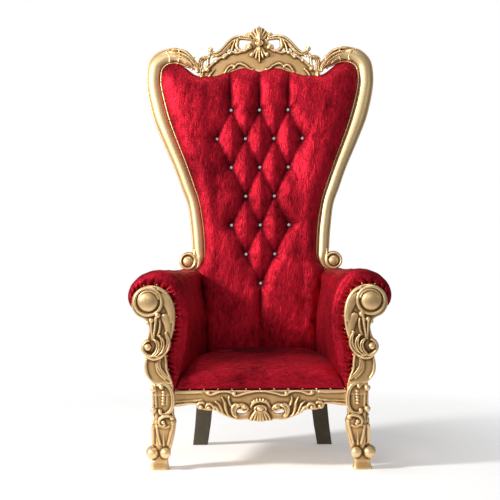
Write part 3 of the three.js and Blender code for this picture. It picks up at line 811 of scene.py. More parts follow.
@dataclass
class Stile:
    """A moulded back stile with its volute below and the banded leaf on its shoulder."""

    joint_x: float = 268.0

    def moulding(self) -> Shape:
        """The smooth moulded run."""
        profile = np.array([
            (-1.0, -40), (-1.0, 9), (-0.95, 11.5), (-0.86, 12), (-0.8, 10.5), (-0.76, 8), (-0.72, 8.4),
            (-0.64, 14), (-0.52, 18.8), (-0.36, 22.6), (-0.18, 25.0), (0.0, 26.0), (0.18, 25.6), (0.36, 23.6),
            (0.52, 20.0), (0.66, 14.6), (0.75, 9.4), (0.79, 6.4), (0.83, 6.6), (0.89, 6.8), (0.95, 5.0),
            (1.0, 1.0), (1.0, -12), (0.97, -38), (0.93, -40),
        ])
        line = smooth_line(STILE_LINE, 5.0)
        places, front = profile.T
        rise = np.minimum(1, 0.25 + line[:, 2:3] / 30)
        rings = swept(line, line[:, 2], places, np.where(front < 0, front, front * rise))
        top = rings[:, :, 2] > 1590
        rings[:, :, 0] = np.where(top, np.maximum(rings[:, :, 0], self.joint_x), rings[:, :, 0])
        return loft(rings)

    def carving(self) -> list[Shape]:
        """The volute, the two bands and the acanthus leaf."""
        forms = [
            turned_boss(315, 805, [
                [0, -40], [36, -40], [38, -36], [38, 14], [36.5, 20], [33, 23.5], [29.5, 23], [27.5, 18],
                [25.5, 14], [23, 14.5], [21, 19], [17, 24], [11, 27], [0, 28.5],
            ]),
            strand([[301, 775, 8], [288, 790, 10], [283, 812, 10], [287, 836, 8], [283, 858, 6]], 14,
                   base=8, back=30),
            strand([[356, 1672, 3.5], [350, 1690, 4.5], [349, 1708, 5], [353, 1726, 4]], 7, base=20),
            strand([[394, 1671, 3.5], [392, 1690, 4.5], [398, 1708, 5], [409, 1722, 4]], 7, base=20),
        ]
        spray = (
            ([[384, 1726, 3], [356, 1727, 6], [326, 1717, 8], [303, 1698, 7], [286, 1676, 4]], 12, 16),
            ([[378, 1713, 3], [350, 1712, 6], [322, 1700, 8], [300, 1682, 7], [283, 1660, 4]], 13, 19),
            ([[372, 1699, 3], [348, 1697, 6], [324, 1686, 7], [305, 1670, 6], [292, 1653, 3]], 12, 19),
            ([[364, 1684, 2.5], [346, 1682, 5], [328, 1672, 6], [314, 1659, 3]], 10, 17),
            ([[404, 1731, 2.5], [380, 1733, 4], [360, 1734, 3]], 7, 6),
        )
        forms += [strand(line, rise, Section.KEEL, base=base, back=14) for line, rise, base in spray]
        forms += [
            strand([[330, 1668, 6], [308, 1672, 10], [288, 1661, 11], [275, 1643, 9], [271, 1624, 6]], 15,
                   Section.FLUTED, base=12, back=26),
            ball(289, 1690, 7.5, 14), ball(296, 1641, 6.0, 10),
        ]
        return forms

    def build(self) -> bpy.types.Object:
        """Makes the right-hand stile."""
        smooth = object_of(mesh_of("stile_run", RECLINE.lean(self.moulding())))
        mark_hollows(smooth.data, 5, 1.6)
        shapes = [RECLINE.lean(shape) for shape in self.carving()]
        carved = fused("stile_carving", shapes, FINE_GRAIN)
        corners = numbers(carved.data, "co")
        high = corners[:, 2] > 1590 * MM
        corners[:, 0] = np.where(high, np.maximum(corners[:, 0], self.joint_x * MM), corners[:, 0])
        moved_to(carved, corners)
        return merged("back_stile_right", [smooth, carved])


def merged(name: str, pieces: Sequence[bpy.types.Object]) -> bpy.types.Object:
    """Joins several objects into one, with their attributes."""
    with bpy.context.temp_override(
        active_object=pieces[0], object=pieces[0], selected_objects=list(pieces),
        selected_editable_objects=list(pieces),
    ):
        bpy.ops.object.join()
    piece = pieces[0]
    piece.name = piece.data.name = name
    return piece


@dataclass
class Crest:
    """The pierced crest rail with its palmette, cabochon and hanging leaf."""

    span: float = 267.65

    def field_board(self) -> list[Shape]:
        """The smooth field and the ground of the palmette."""
        edge = [
            [246, 1598], [242, 1625], [226, 1646], [207, 1664], [171, 1694], [152, 1696], [134, 1716],
            [100, 1717], [60, 1725], [45, 1740], [40, 1764],
        ]
        lower = [[0, 1626], [62, 1637], [124, 1628], [186, 1605], [236, 1598]]
        right = [[0, 1766], *smooth_line(edge, 5.0)[::-1].tolist(), *smooth_line(lower, 8.0)[::-1].tolist()]
        fan = [[18, 1752], [25, 1770], [32, 1786], [38, 1800], [28, 1808], [22, 1819], [10, 1820], [0, 1826]]
        return [plate(both_sides(right), 12, 24), plate(both_sides(fan), 11, 12)]

    def right_half(self) -> list[Shape]:
        """The scrolls to the right of the middle."""
        deep = dict(base=4, back=24)
        forms = [
            strand([[213, 1725, 7], [204, 1711, 9], [187, 1707, 10.5], [168, 1718, 11], [149, 1738, 11],
                    [131, 1758, 11], [110, 1773, 12], [84, 1780, 11], [58, 1778, 10], [36, 1772, 7]],
                   19, Section.TWIN, **deep),
            strand([[205, 1698, 4], [180, 1702, 5.5], [157, 1715, 6], [138, 1735, 6], [124, 1752, 5]],
                   12, **deep),
            strand([[230, 1640, 7], [209, 1660, 6.5], [190, 1677, 6.5], [171, 1690, 7], [152, 1694, 7],
                    [134, 1711, 7.5], [118, 1715, 7], [96, 1711, 6], [60, 1722, 5]], 17, **deep),
            strand(curl(73, 1747, (29, 26), (215, 395), (7, 10)), 19, **deep),
            strand([[98, 1757, 9], [93, 1772, 7], [82, 1779, 5]], 17, **deep),
            strand(curl(50, 1735, (14, 4), (215, -140), (6, 5)), 20, base=6, back=22),
            strand([[126, 1705, 8], [120, 1728, 9], [114, 1748, 8],
                    [104, 1768, 6]], 18, Section.KEEL, **deep),
            strand([[216, 1708, 6], [224, 1692, 7], [226, 1674, 7], [228, 1656, 6.5],
                    [238, 1641, 6]], 15, **deep),
            strand([[214, 1694, 4], [230, 1692, 8], [247, 1688, 11], [259, 1674, 13], [260, 1650, 13],
                    [256, 1626, 12], [254, 1604, 9]], 20, Section.FLUTED, **deep),
            ball(214, 1726, 12, 12), ball(228, 1638, 9, 15), ball(44, 1736, 11, 18), ball(44, 1788, 11, 8),
            ball(33, 1702, 10, 20), ball(155, 1691, 6.5, 20), ball(129, 1710, 7, 18),
            ball(190, 1674, 5.5, 18),
            ball(204, 1694, 6, 14), ball(243, 1634, 6, 14),
            strand(curl(44, 1788, (15, 9), (-100, 120), (5, 4)), 13, base=4, back=14),
            strand([[30, 1764, 5], [38, 1772, 6], [36, 1782, 4]], 14, **deep),
        ]
        edge = dict(base=12, back=6)
        forms += [
            strand([[150, 1624, 2.5], [143, 1639, 4.5], [131, 1652, 5], [117, 1655, 5],
                    [108, 1649, 4]], 9, **edge),
            strand([[107, 1649, 3], [99, 1659, 4.5], [84, 1663, 5], [62, 1655, 4.5], [46, 1642, 4],
                    [30, 1636, 3]], 9, **edge),
            strand([[140, 1628, 2.5], [124, 1640, 3.5], [104, 1645, 3]], 6, **edge),
            strand([[196, 1640, 2], [212, 1622, 4], [222, 1606, 4]], 7, **edge),
            ball(109, 1649, 5.5, 17), ball(150, 1626, 4.5, 15), ball(30, 1637, 4.5, 15),
        ]
        leaf = dict(section=Section.KEEL, base=10, back=10)
        fan = (
            ([[6, 1766, 6], [22, 1780, 9], [38, 1797, 7]], 11),
            ([[4, 1766, 6], [15, 1789, 9.5], [28, 1810, 8]], 14),
            ([[2, 1764, 6], [7, 1794, 9], [11, 1821, 8]], 16),
            ([[5, 1738, 6], [18, 1718, 9], [27, 1702, 7]], 12),
            ([[3, 1734, 6], [11, 1708, 9], [16, 1685, 7]], 15),
        )
        forms += [strand(line, rise, **leaf) for line, rise in fan]
        return forms

    def build(self) -> bpy.types.Object:
        """Makes the crest."""
        right = self.right_half()
        middle = [
            strand([[0, 1752, 6], [0, 1796, 8], [0, 1828, 3.5]], 19, Section.KEEL, base=10, back=10),
            strand([[0, 1740, 6], [0, 1700, 8], [0, 1667, 3]], 18, Section.KEEL, base=10, back=10),
            turned_boss(0, 1754, [
                [0, -20], [17.5, -20], [18.5, 18], [17.5, 23], [15, 25.5], [12.5, 24], [11, 21.5], [9, 24.5],
                [5, 28], [0, 29.5],
            ], tall=0.72),
        ]
        shapes = self.field_board() + middle + right + [shape.mirrored() for shape in right]
        crest = fused("crest_rail", [RECLINE.lean(shape) for shape in shapes], MIDDLE_GRAIN)
        return pressed(crest, (-self.span, -math.inf, -math.inf), (self.span, math.inf, math.inf))


# ---------------------------------------------------------------- arms and seat


ARM_FRONT_LINE = (
    (339, 317), (318, 376), (294, 477), (281, 557), (283, 637), (303, 718), (334, 772), (376, 797),
    (420, 797), (466, 781), (505, 750), (525, 714), (527, 681), (514, 652), (485, 634), (452, 616),
    (432, 560), (424, 440), (423, 317),
)
ARM_REAR_LINE = (
    (237, 317), (237, 376), (237, 450), (240, 583), (257, 690), (260, 742), (280, 764), (306, 770),
    (342, 768), (378, 755), (404, 735), (418, 708), (419, 680), (408, 655), (386, 640), (360, 624),
    (345, 560), (328, 440), (322, 317),
)
ARM_GATHER_LINE = (
    (366, 326), (370, 385), (378, 470), (352, 545), (347, 625), (368, 688), (396, 720), (424, 731),
    (450, 731), (474, 720), (492, 700), (499, 682), (498, 668), (488, 652), (468, 634), (448, 606),
    (428, 556), (414, 440), (412, 330),
)


@dataclass
class ArmPad:
    """The upholstery of an arm: a roll over the top, gathered round the carved front."""

    front: float = 30.0
    taper_end: float = 500.0
    round_over: float = 26.0
    samples: int = 350
    pleats: int = 44
    pleat_length: float = 62.0
    pleat_depth: float = 24.0
    bulge: float = 13.0
    flat_share: float = 0.72
    heart: tuple[float, float, float] = (400.0, 0.0, 590.0)

    def section(self, y: float, at: np.ndarray) -> np.ndarray:
        """The outline of the arm at a depth, as x and z, at places counted along its corners."""
        share = min(max((y - self.front) / (self.taper_end - self.front), 0), 1)
        front = spline(ARM_FRONT_LINE, at)
        rear = spline(ARM_REAR_LINE, at)
        return front + (rear - front) * share

    def places(self) -> np.ndarray:
        """Places along the section, evenly spread along its front outline."""
        at = np.linspace(0, len(ARM_FRONT_LINE) - 1, 2000)
        line = spline(ARM_FRONT_LINE, at)
        run = run_along(line)
        return np.interp(np.linspace(0, run[-1], self.samples), run, at)

    def valleys(self, at: np.ndarray, inner: np.ndarray) -> np.ndarray:
        """How deep the gathered pleats are, from 0 to 1, along the section."""
        run = run_along(inner)
        points = np.stack([run, 0 * run, 0 * run], 1)
        phase = run / run[-1] * self.pleats * math.pi + 0.9 * Wander(21, 90)(points)
        vary = 0.75 + 0.3 * Wander(22, 55)(points)
        ends = np.clip(np.minimum(at, len(ARM_FRONT_LINE) - 1 - at) / 1.2, 0, 1)
        return (1 - np.abs(np.sin(phase)) ** 0.8) * np.clip(vary, 0.2, 1.3) * ends

    def rings(self) -> np.ndarray:
        """The pad's rings from the gathers at the front to the back."""
        at = self.places()
        outer = self.section(self.front, at)
        inner = spline(ARM_GATHER_LINE, at)
        width = np.linalg.norm(outer - inner, axis=1)
        valley = self.valleys(at, inner)
        rings = []

        def add_ring(place: np.ndarray, y: np.ndarray | float) -> None:
            """Adds a ring from its places in the front view and its depths."""
            rings.append(np.column_stack([place[:, 0], np.broadcast_to(y, len(at)), place[:, 1]]))

        for share in np.linspace(0, 1, 16):
            gathered = np.clip(1 - share * width / self.pleat_length, 0, 1) ** 1.1
            swell = self.bulge * math.sin(math.pi * min(1, share * 0.8)) * np.clip(width / 40, 0, 1)
            y = self.front - 0.4 - swell + self.pleat_depth * valley * gathered
            add_ring(inner + (outer - inner) * share * self.flat_share, y)
        start = rings[-1][:, 1]
        turned_to = self.front + self.round_over
        for angle in np.linspace(0, math.pi / 2, 9)[1:]:
            place = inner + (outer - inner) * (self.flat_share + (1 - self.flat_share) * math.sin(angle))
            add_ring(place, start + (turned_to - start) * (1 - math.cos(angle)))
        depths = np.linspace(turned_to, RECLINE.y - 40, 62)[1:]
        for y in depths:
            add_ring(self.section(y, at), y)
        place = self.section(RECLINE.y, at)
        behind = RECLINE.depth(place[:, 1]) + RECLINE.thick - 1.5
        for share in (0.35, 0.7, 1.0):
            add_ring(place, depths[-1] + (behind - depths[-1]) * share)
        return np.stack(rings)

    def build(self) -> bpy.types.Object:
        """Makes the right-hand pad."""
        rings = self.rings()
        rings[:, :, 2] = np.maximum(rings[:, :, 2], ARM_FRONT_LINE[0][1])
        flat = rings.reshape(-1, 3)
        lumps = 1.3 * Wander(23, 120)(flat) + 0.55 * Wander(24, 42)(flat)
        away = (flat - np.array(self.heart)) * np.array([1, 0, 1])
        away /= np.linalg.norm(away, axis=1)[:, None]
        calm = np.clip((flat[:, 2] - 330) / 40, 0, 1) * np.clip((RECLINE.y - flat[:, 1]) / 60, 0, 1)
        flat = flat + away * (lumps * calm)[:, None]
        piece = object_of(mesh_of("arm_pad_right", loft(flat.reshape(rings.shape))))
        mark_hollows(piece.data, 18, 2.0)
        return piece


@dataclass
class SeatCushion:
    """The domed seat between the arms."""

    bottom: float = 316.35
    gap: float = 1.2
    back_gap: float = 30.4
    edge_fall: float = 22.0
    crown: float = 7.0
    path: Points = (
        (36, 316.35), (30, 322), (27.5, 336), (28.5, 356), (33, 376), (43, 393), (60, 405), (110, 424),
        (200, 442), (300, 449), (400, 447), (480, 441), (540, 436),
    )

    def inner(self, y: np.ndarray, z: np.ndarray) -> np.ndarray:
        """Half the room between the arms at a depth and height."""
        share = np.clip((y - 30) / 470, 0, 1)
        front = np.interp(z, [317, 376, 477], [339, 318, 294])
        return front + (237 - front) * share - self.gap

    def build(self) -> bpy.types.Object:
        """Makes the seat."""
        line = smooth_line(self.path, 5.2)
        across = np.linspace(-1, 1, 117)
        wall = np.linspace(0, 1, 7)[:-1]
        rings = []
        for y, z in line:
            lift = np.clip((z - self.bottom) / 90, 0, 1)
            top = z - (self.edge_fall * np.abs(across) ** 5 + self.crown * across**2) * lift
            limit = RECLINE.depth(top) - self.back_gap
            ys = np.minimum(y, limit)
            edge = top[0]
            side_z = self.bottom + (edge - self.bottom) * wall
            side_x = self.inner(np.full_like(wall, y), side_z)
            xs = across * self.inner(ys, top)
            side_y = np.minimum(y, RECLINE.depth(side_z) - self.back_gap)
            ring = np.concatenate([
                np.column_stack([-side_x, side_y, side_z]), np.column_stack([xs, ys, top]),
                np.column_stack([side_x, side_y, side_z])[::-1],
            ])
            rings.append(ring)
        rings = np.stack(rings)
        flat = rings.reshape(-1, 3)
        calm = np.clip((flat[:, 2] - 335) / 50, 0, 1)
        inside = np.clip((self.inner(flat[:, 1], flat[:, 2]) - np.abs(flat[:, 0])) / 30, 0, 1)
        lumps = 1.6 * Wander(31, 150)(flat) + 0.8 * Wander(32, 50)(flat * np.array([0.5, 1, 1]))
        flat[:, 2] += lumps * calm * inside
        piece = object_of(mesh_of("seat_cushion", loft(flat.reshape(rings.shape))))
        mark_hollows(piece.data, 16, 3.0)
        return piece


ARM_BOARD = (
    (349, 345.5), (356, 374), (367, 402), (369, 432), (372, 465), (366, 491), (351, 528), (341, 566),
    (336, 608), (338, 646), (349, 683), (371, 716), (405, 735), (443, 739), (476, 727), (500, 704),
    (508, 672), (505, 645), (487, 620), (455, 602), (440, 575), (444, 545), (456, 515), (464, 484),
    (455, 452), (461, 415), (454, 380), (424, 345.5),
)


@dataclass
class ArmFront:
    """The carved arm front: scrolled board, disc, drooping stems and an acanthus cup."""

    thick: float = 28.0
    foot: float = 345.5

    def forms(self) -> list[Shape]:
        """The overlapping forms of the right-hand arm front."""
        board = plate(smooth_line(ARM_BOARD, 5.0).tolist(), 0, self.thick - 0.3)
        rim = smooth_line([(352, 350), (361, 376), (371, 402), (374, 432), (377, 463), (371, 491), (357, 528),
                           (347, 566), (342, 608), (344, 646), (354, 680), (374, 708), (406, 728)], 6.0)
        margin = [[x, z, 4.0] for x, z in rim]
        return [
            board,
            strand(margin, 6.5, base=-1, back=6),
            strand([[352, 590, 10], [354, 640, 16], [374, 682, 20], [404, 704, 14]], 7, back=4),
            strand([[371, 500, 8], [362, 545, 13], [366, 590, 17], [382, 625, 18]], 8, back=4),
            turned_boss(443, 676, [
                [0, -20], [58, -20], [61, -14], [61.5, -2], [60, 6], [56.5, 10.5], [52, 11.5], [48.5, 8],
                [46.5, 3.5], [43, 3], [40, 6], [38, 10], [33, 15], [25, 19.5], [15, 22.5], [0, 24],
            ]),
            strand(curl(443, 677, (45, 33), (170, -110), (4.5, 3.0)), 7, base=6),
            strand([[402, 626, 5], [411, 612, 7], [414, 592, 6.5], [417, 566, 5.5], [421, 540, 5],
                    [420, 520, 4]],
                   12, back=6),
            strand([[432, 600, 6], [431, 576, 5.5], [429, 548, 5], [426, 520, 4]], 11),
            strand([[397, 606, 3], [396, 580, 5], [400, 556, 5], [408, 536, 4]], 8, back=6),
            ball(405, 622, 11, 6), ball(431, 602, 9.5, 6), ball(446, 590, 7, -4),
            strand([[414, 456, 7], [386, 468, 10], [368, 492, 11], [363, 520, 9], [371, 546, 6]], 17,
                   Section.TWIN, base=1),
            strand([[420, 458, 7], [398, 474, 10], [386, 498, 10], [387, 522, 8], [396, 536, 5]], 20,
                   Section.TWIN, base=2, back=10),
            strand([[428, 458, 7], [412, 474, 9], [404, 496, 9], [408, 514, 8], [420, 524, 5]], 22,
                   Section.TWIN, base=2, back=10),
            strand([[426, 459, 7], [444, 462, 8], [459, 474, 8], [465, 491, 8], [460, 508, 7], [449, 519, 6],
                    [438, 520, 4]], 18, back=14),
            strand([[374, 478, 5], [392, 458, 8], [416, 449, 9], [440, 452, 8], [456, 464, 5]], 13,
                   base=1, back=10),
            ball(445, 495, 14, 12), ball(372, 550, 6, 10), ball(397, 539, 5.5, 14),
            strand([[398, 452, 4], [402, 430, 6.5], [398, 408, 7], [386, 390, 7], [372, 375, 6],
                    [358, 362, 4]], 8, Section.CUPPED, back=6),
            strand([[408, 448, 2.5], [412, 424, 3.5], [408, 400, 3.5], [394, 380, 3.5],
                    [376, 364, 2.5]], 5, back=4),
            strand([[452, 446, 4], [455, 420, 5], [450, 388, 5], [436, 362, 4]], 6, base=-1, back=16),
        ]

    def build(self) -> bpy.types.Object:
        """Makes the right-hand arm front."""
        carved = fused("arm_front_right", self.forms(), BROAD_GRAIN)
        return pressed(carved, (-math.inf, -math.inf, self.foot), (math.inf, self.thick, math.inf))


# ---------------------------------------------------------------- legs and rails


@dataclass
class FrontLeg:
    """A carved cabriole front leg on two balls and a flared foot."""

    x: float = 384.5
    y: float = 42.0
    half: float = 40.0
    rail_top: float = 316.0
    top: float = 345.0
    board: float = 28.0

    def face(self) -> list[Shape]:
        """The carving of one face; x is measured from the leg's middle line."""
        return [
            strand([[10, 333, 5], [20, 341, 5], [6, 345, 6.5], [-14, 340, 7], [-28, 322, 7.5], [-35, 298, 8],
                    [-36, 272, 8], [-32, 250, 7.5], [-20, 232, 7], [-2, 225, 6.5], [14, 228, 5.5],
                    [20, 238, 5]], 10, Section.TWIN, base=-1, back=6),
            ball(9, 333, 8.5, 5), ball(15, 238, 8, 5),
            strand([[30, 322, 4], [32, 290, 4.5], [30, 250, 4]], 5, base=-2, back=6),
            *[ball(2 + 0.05 * (290 - z), z, 6.2, 0, tall=0.8) for z in (313, 301, 289, 277, 265)],
            strand([[-10, 318, 3], [-13, 290, 4], [-10, 262, 3]], 4, base=-2, back=4),
            strand([[-30, 214, 4], [-18, 218, 6], [0, 216, 7], [14, 208, 7.5], [20, 194, 7], [14, 181, 6],
                    [2, 178, 5], [-6, 186, 4.5]], 12),
            ball(3, 193, 8, 8), ball(-30, 210, 10, -3),
            strand([[-34, 196, 6], [-30, 170, 7], [-22, 135, 6], [-14, 100, 5]], 9, base=-6),
            strand([[30, 180, 7], [25, 140, 6], [15, 98, 5]], 9, base=-6),
            strand([[2, 168, 4], [3, 135, 3.5], [3, 96, 3]], 7, base=-6),
            strand([[-24, 178, 4], [0, 171, 5], [26, 178, 4]], 7, base=-3),
        ]

    def forms(self) -> list[Shape]:
        """The overlapping forms of the right-hand leg."""
        stations = np.array([
            (406, 34, 39.5, 0), (406, 34, 39, 3), (405.5, 34, 35.5, 12), (405, 34, 33, 26), (404, 33, 32, 36),
            (396, 31, 28, 48), (389, 40, 29, 78), (386.5, 41, 33.5, 104), (384.5, 44, 39, 138),
            (383.5, 46, 43, 170), (383, 47, 44.5, 190), (384, 43, 38, 210), (self.x, self.y, 37.5, 226),
            (self.x, self.y, 38.5, 300), (self.x, self.y, 38.5, self.rail_top - 0.2),
        ])
        line = spline(stations, np.linspace(0, len(stations) - 1, 90))
        turns = np.linspace(0, 2 * math.pi, 48, endpoint=False)
        rings = []
        for x, y, half, z in line:
            power = 0.30 if z > 205 or z < 40 else 0.42
            cos, sin = np.cos(turns), np.sin(turns)
            rings.append(np.column_stack([
                x + half * np.sign(cos) * np.abs(cos) ** power,
                y + half * np.sign(sin) * np.abs(sin) ** power, np.full(len(turns), min(z, 316)),
            ]))
        body = loft(np.stack(rings))
        face_y = self.y - self.half
        carving = self.face()
        front = [form.moved(self.x, face_y + 1.5, 0) for form in carving]
        side = [form.turned(-90).moved(self.x + self.half - 1.5, self.y, 0) for form in carving]
        tongue = plate([[self.x - 38, 300], [self.x - 38, 345], [self.x + 38, 345], [self.x + 38, 300]],
                       0, self.board - 0.4).moved(0, face_y)
        balls = [
            ball(433, 66, 29, -40), ball(380, 69, 22, 0), ball(433, 66, 24, -12),
            ball(self.x + self.half + 2, 326, 13, -face_y - 4),
            ball(self.x + self.half + 2, 242, 13, -face_y - 4),
        ]
        return [body, tongue, *front, *side, *balls]

    def build(self) -> bpy.types.Object:
        """Makes the right-hand leg."""
        leg = fused("front_leg_right", self.forms(), BROAD_GRAIN)
        corners = numbers(leg.data, "co") / MM - np.array([0, DEPTH_SHIFT, 0])
        x, y, z = corners.T
        z = np.maximum(z, 0)
        behind = (z > self.rail_top) & (y > self.board)
        y = np.where(behind & (z > self.rail_top + 4), self.board, y)
        z = np.where(behind & (z <= self.rail_top + 4), self.rail_top, z)
        z = np.where((z > self.top) & (y > -0.4), self.top, z)
        return moved_to(leg, placed(np.column_stack([x, y, z])))


@dataclass
class FrontRail:
    """The pierced apron with its shell, cabochon and leaf scrolls."""

    reach: float = 344.15
    top: float = 316.0
    face: float = 22.0
    thick: float = 28.0
    edge: Points = (
        (344, 252), (322, 253), (287, 259), (250, 260), (236, 242), (206, 236), (188, 238), (166, 231),
        (146, 219), (120, 205), (90, 197), (58, 198), (40, 195), (0, 190),
    )

    def right_half(self) -> list[Shape]:
        """The carving to the right of the middle."""
        return [
            strand(curl(74, 231, (27, 31), (165, -50), (5.5, 7.5)), 13, Section.TWIN, back=20),
            strand([[97, 210, 7], [108, 222, 7], [113, 240, 7], [108, 254, 6.5], [96, 260, 6],
                    [84, 256, 5]], 12, back=20),
            strand(curl(64, 248, (15, 6), (-150, 120), (5, 4)), 12, back=16),
            ball(63, 250, 9, 6), ball(88, 256, 8, 7), ball(102, 259, 6, 5),
            strand([[118, 210, 4], [131, 222, 7], [139, 244, 8.5], [142, 266, 7], [153, 290, 3.5]], 12,
                   Section.KEEL, back=14),
            strand([[134, 214, 4], [149, 226, 7], [158, 246, 8], [166, 262, 6], [180, 272, 3]], 11,
                   Section.KEEL, back=14),
            strand([[110, 246, 3], [121, 262, 6], [126, 280, 5], [124, 293, 3]], 8, Section.KEEL),
            strand([[150, 222, 4], [166, 234, 7], [176, 248, 6], [190, 254, 4]], 10, back=14),
            strand([[186, 238, 4], [188, 252, 6], [199, 262, 6.5], [212, 260, 6], [217, 249, 5],
                    [211, 243, 4]], 10, back=14),
            strand([[222, 262, 4], [230, 268, 5.5], [244, 266, 6], [250, 256, 6], [244, 246, 5],
                    [235, 246, 4]], 10, back=14),
            ball(206, 247, 7.5, 5), ball(238, 252, 7.5, 5),
            strand([[250, 263, 4], [290, 265, 4], [344, 259, 4]], 7, back=12),
            strand([[232, 280, 2.5], [262, 276, 3], [344, 272, 3]], 4, back=4),
            strand([[216, 308, 4], [207, 302, 5], [192, 301, 5], [172, 308, 4.5], [156, 312, 4],
                    [132, 312, 4],
                    [114, 306, 4], [108, 298, 4]], 7),
            strand([[112, 303, 4], [102, 297, 5], [86, 297, 5], [66, 303, 4.5], [45, 308, 4.5], [22, 312, 4],
                    [0, 313, 4]], 8),
            strand([[344, 309, 3], [280, 308, 3], [232, 309, 3]], 5, back=6),
            ball(207, 307, 6.5, 6), ball(104, 305, 6.5, 6),
            *[strand([[x0, 236, 4.5], [x1, 214, 6.2], [x2, 193, 4.5]], 14, back=16)
              for x0, x1, x2 in ((5, 9, 12), (11, 20, 27), (17, 32, 42))],
            *[ball(34 * math.sin(turn), 258 + 0.62 * 34 * math.cos(turn), 4.6, 3)
              for turn in (0.0, 0.38, 0.76, 1.14)],
            strand([[0, 272, 4], [18, 269, 4.5], [32, 260, 4.5], [38, 246, 4]], 8),
        ]

    def build(self) -> bpy.types.Object:
        """Makes the rail."""
        lower = smooth_line(self.edge, 5.0).tolist()
        half = [[self.reach, self.top], [self.reach, 252], *[p for p in lower if p[0] < self.reach - 1]]
        holes = [ellipse(sign * 74, 230, 22, 9.5) for sign in (1, -1)]
        right = self.right_half()
        middle = [
            strand([[0, 236, 4.5], [0, 212, 6.2], [0, 190.5, 4.5]], 15, back=16),
            turned_boss(0, 242, [
                [0, -12], [26, -12], [27, 4], [25.5, 9], [22.5, 11.5], [19.5, 10.5], [17.5, 7], [15, 9],
                [10, 14], [0, 17],
            ], tall=0.6),
        ]
        board = plate(both_sides(half), 0, self.thick, holes)
        shapes = [board, *middle, *right, *[form.mirrored() for form in right]]
        rail = fused("seat_rail_front", [shape.moved(0, self.face, 0) for shape in shapes], MIDDLE_GRAIN)
        return pressed(rail, (-self.reach, -math.inf, -math.inf), (self.reach, math.inf, self.top))


def bevelled(name: str, rings: np.ndarray, width: float) -> bpy.types.Object:
    """A plain piece through rings of corners, with its long edges taken off."""
    piece = object_of(mesh_of(name, loft(rings)))
    bevel = piece.modifiers.new("edges", "BEVEL")
    bevel.width = width * MM
    bevel.segments = 3
    bevel.limit_method = "ANGLE"
    bevel.angle_limit = math.radians(40)
    return baked(piece)


@dataclass
class RearLeg:
    """A plain square rear leg, splayed backwards and outwards."""

    top: tuple[float, float] = (243.0, 559.0)
    foot: tuple[float, float] = (271.0, 640.0)
    half: tuple[float, float] = (35.0, 32.0)
    deep: float = 28.0
    height: float = 256.65

    def build(self) -> bpy.types.Object:
        """Makes the right-hand leg."""
        rings = []
        for z in np.linspace(0, self.height, 15):
            out = float(np.interp(z, [0, 90, 180, self.height], [1, 0.52, 0.18, 0]))
            x = self.top[0] + (self.foot[0] - self.top[0]) * out
            y = self.top[1] + (self.foot[1] - self.top[1]) * out
            wide = self.half[0] + (self.half[1] - self.half[0]) * out
            rings.append([(x - wide, y - self.deep, z), (x + wide, y - self.deep, z),
                          (x + wide, y + self.deep, z), (x - wide, y + self.deep, z)])
        return bevelled("rear_leg_right", np.array(rings), 3.0)


@dataclass
class PlainRails:
    """The side rails, the rear rail and the board under the seat."""

    bottom: float = 257.0
    top: float = 316.0

    def slab(self, name: str, plan: Points, low: float, high: float, edge: float = 2.5) -> bpy.types.Object:
        """A flat piece with a plan outline of x and y."""
        rings = np.array([[(x, y, z) for x, y in plan] for z in (low, high)])
        return bevelled(name, rings, edge)

    def side(self) -> bpy.types.Object:
        """Makes the right-hand side rail."""
        return self.slab("seat_rail_right", [
            (396, 82.35), (424, 82.35), (322, 585), (293.35, 585), (293.35, REAR_RAIL_FRONT),
        ], self.bottom, self.top)

    def rear(self) -> bpy.types.Object:
        """Makes the rear rail."""
        return self.slab("seat_rail_rear", [
            (-293, REAR_RAIL_FRONT), (293, REAR_RAIL_FRONT), (293, 585), (-293, 585),
        ], self.bottom, self.top)

    def board(self) -> bpy.types.Object:
        """Makes the seat board."""
        right = [(344.15, 50.35), (344.15, 82.35), (395.65, 82.35), (292.65, REAR_RAIL_FRONT - 0.35)]
        return self.slab("seat_board", both_sides(right), self.top - 18, self.top, 1.0)


# ---------------------------------------------------------------- nails and buttons


def fill_socket(tree: bpy.types.NodeTree, socket: bpy.types.NodeSocket, value: object) -> None:
    """Links a socket to another one, or sets its value."""
    if isinstance(value, bpy.types.NodeSocket):
        tree.links.new(value, socket)
    elif isinstance(value, tuple) and len(value) == 3 and socket.type == "RGBA":
        socket.default_value = (*value, 1.0)
    else:
        socket.default_value = value


def add_node(
    tree: bpy.types.NodeTree, kind: str, settings: dict[str, object], values: dict[object, object]
) -> bpy.types.Node:
    """Adds a node to a tree.

    Args:
        tree: The tree.
        kind: The node's type.
        settings: Its own settings, which are set first.
        values: The values or links of its sockets.

    Returns:
        The node.
    """
    node = tree.nodes.new(kind)
    for key, value in settings.items():
        setattr(node, key, value)
    for key, value in values.items():
        fill_socket(tree, node.inputs[key], value)
    return node


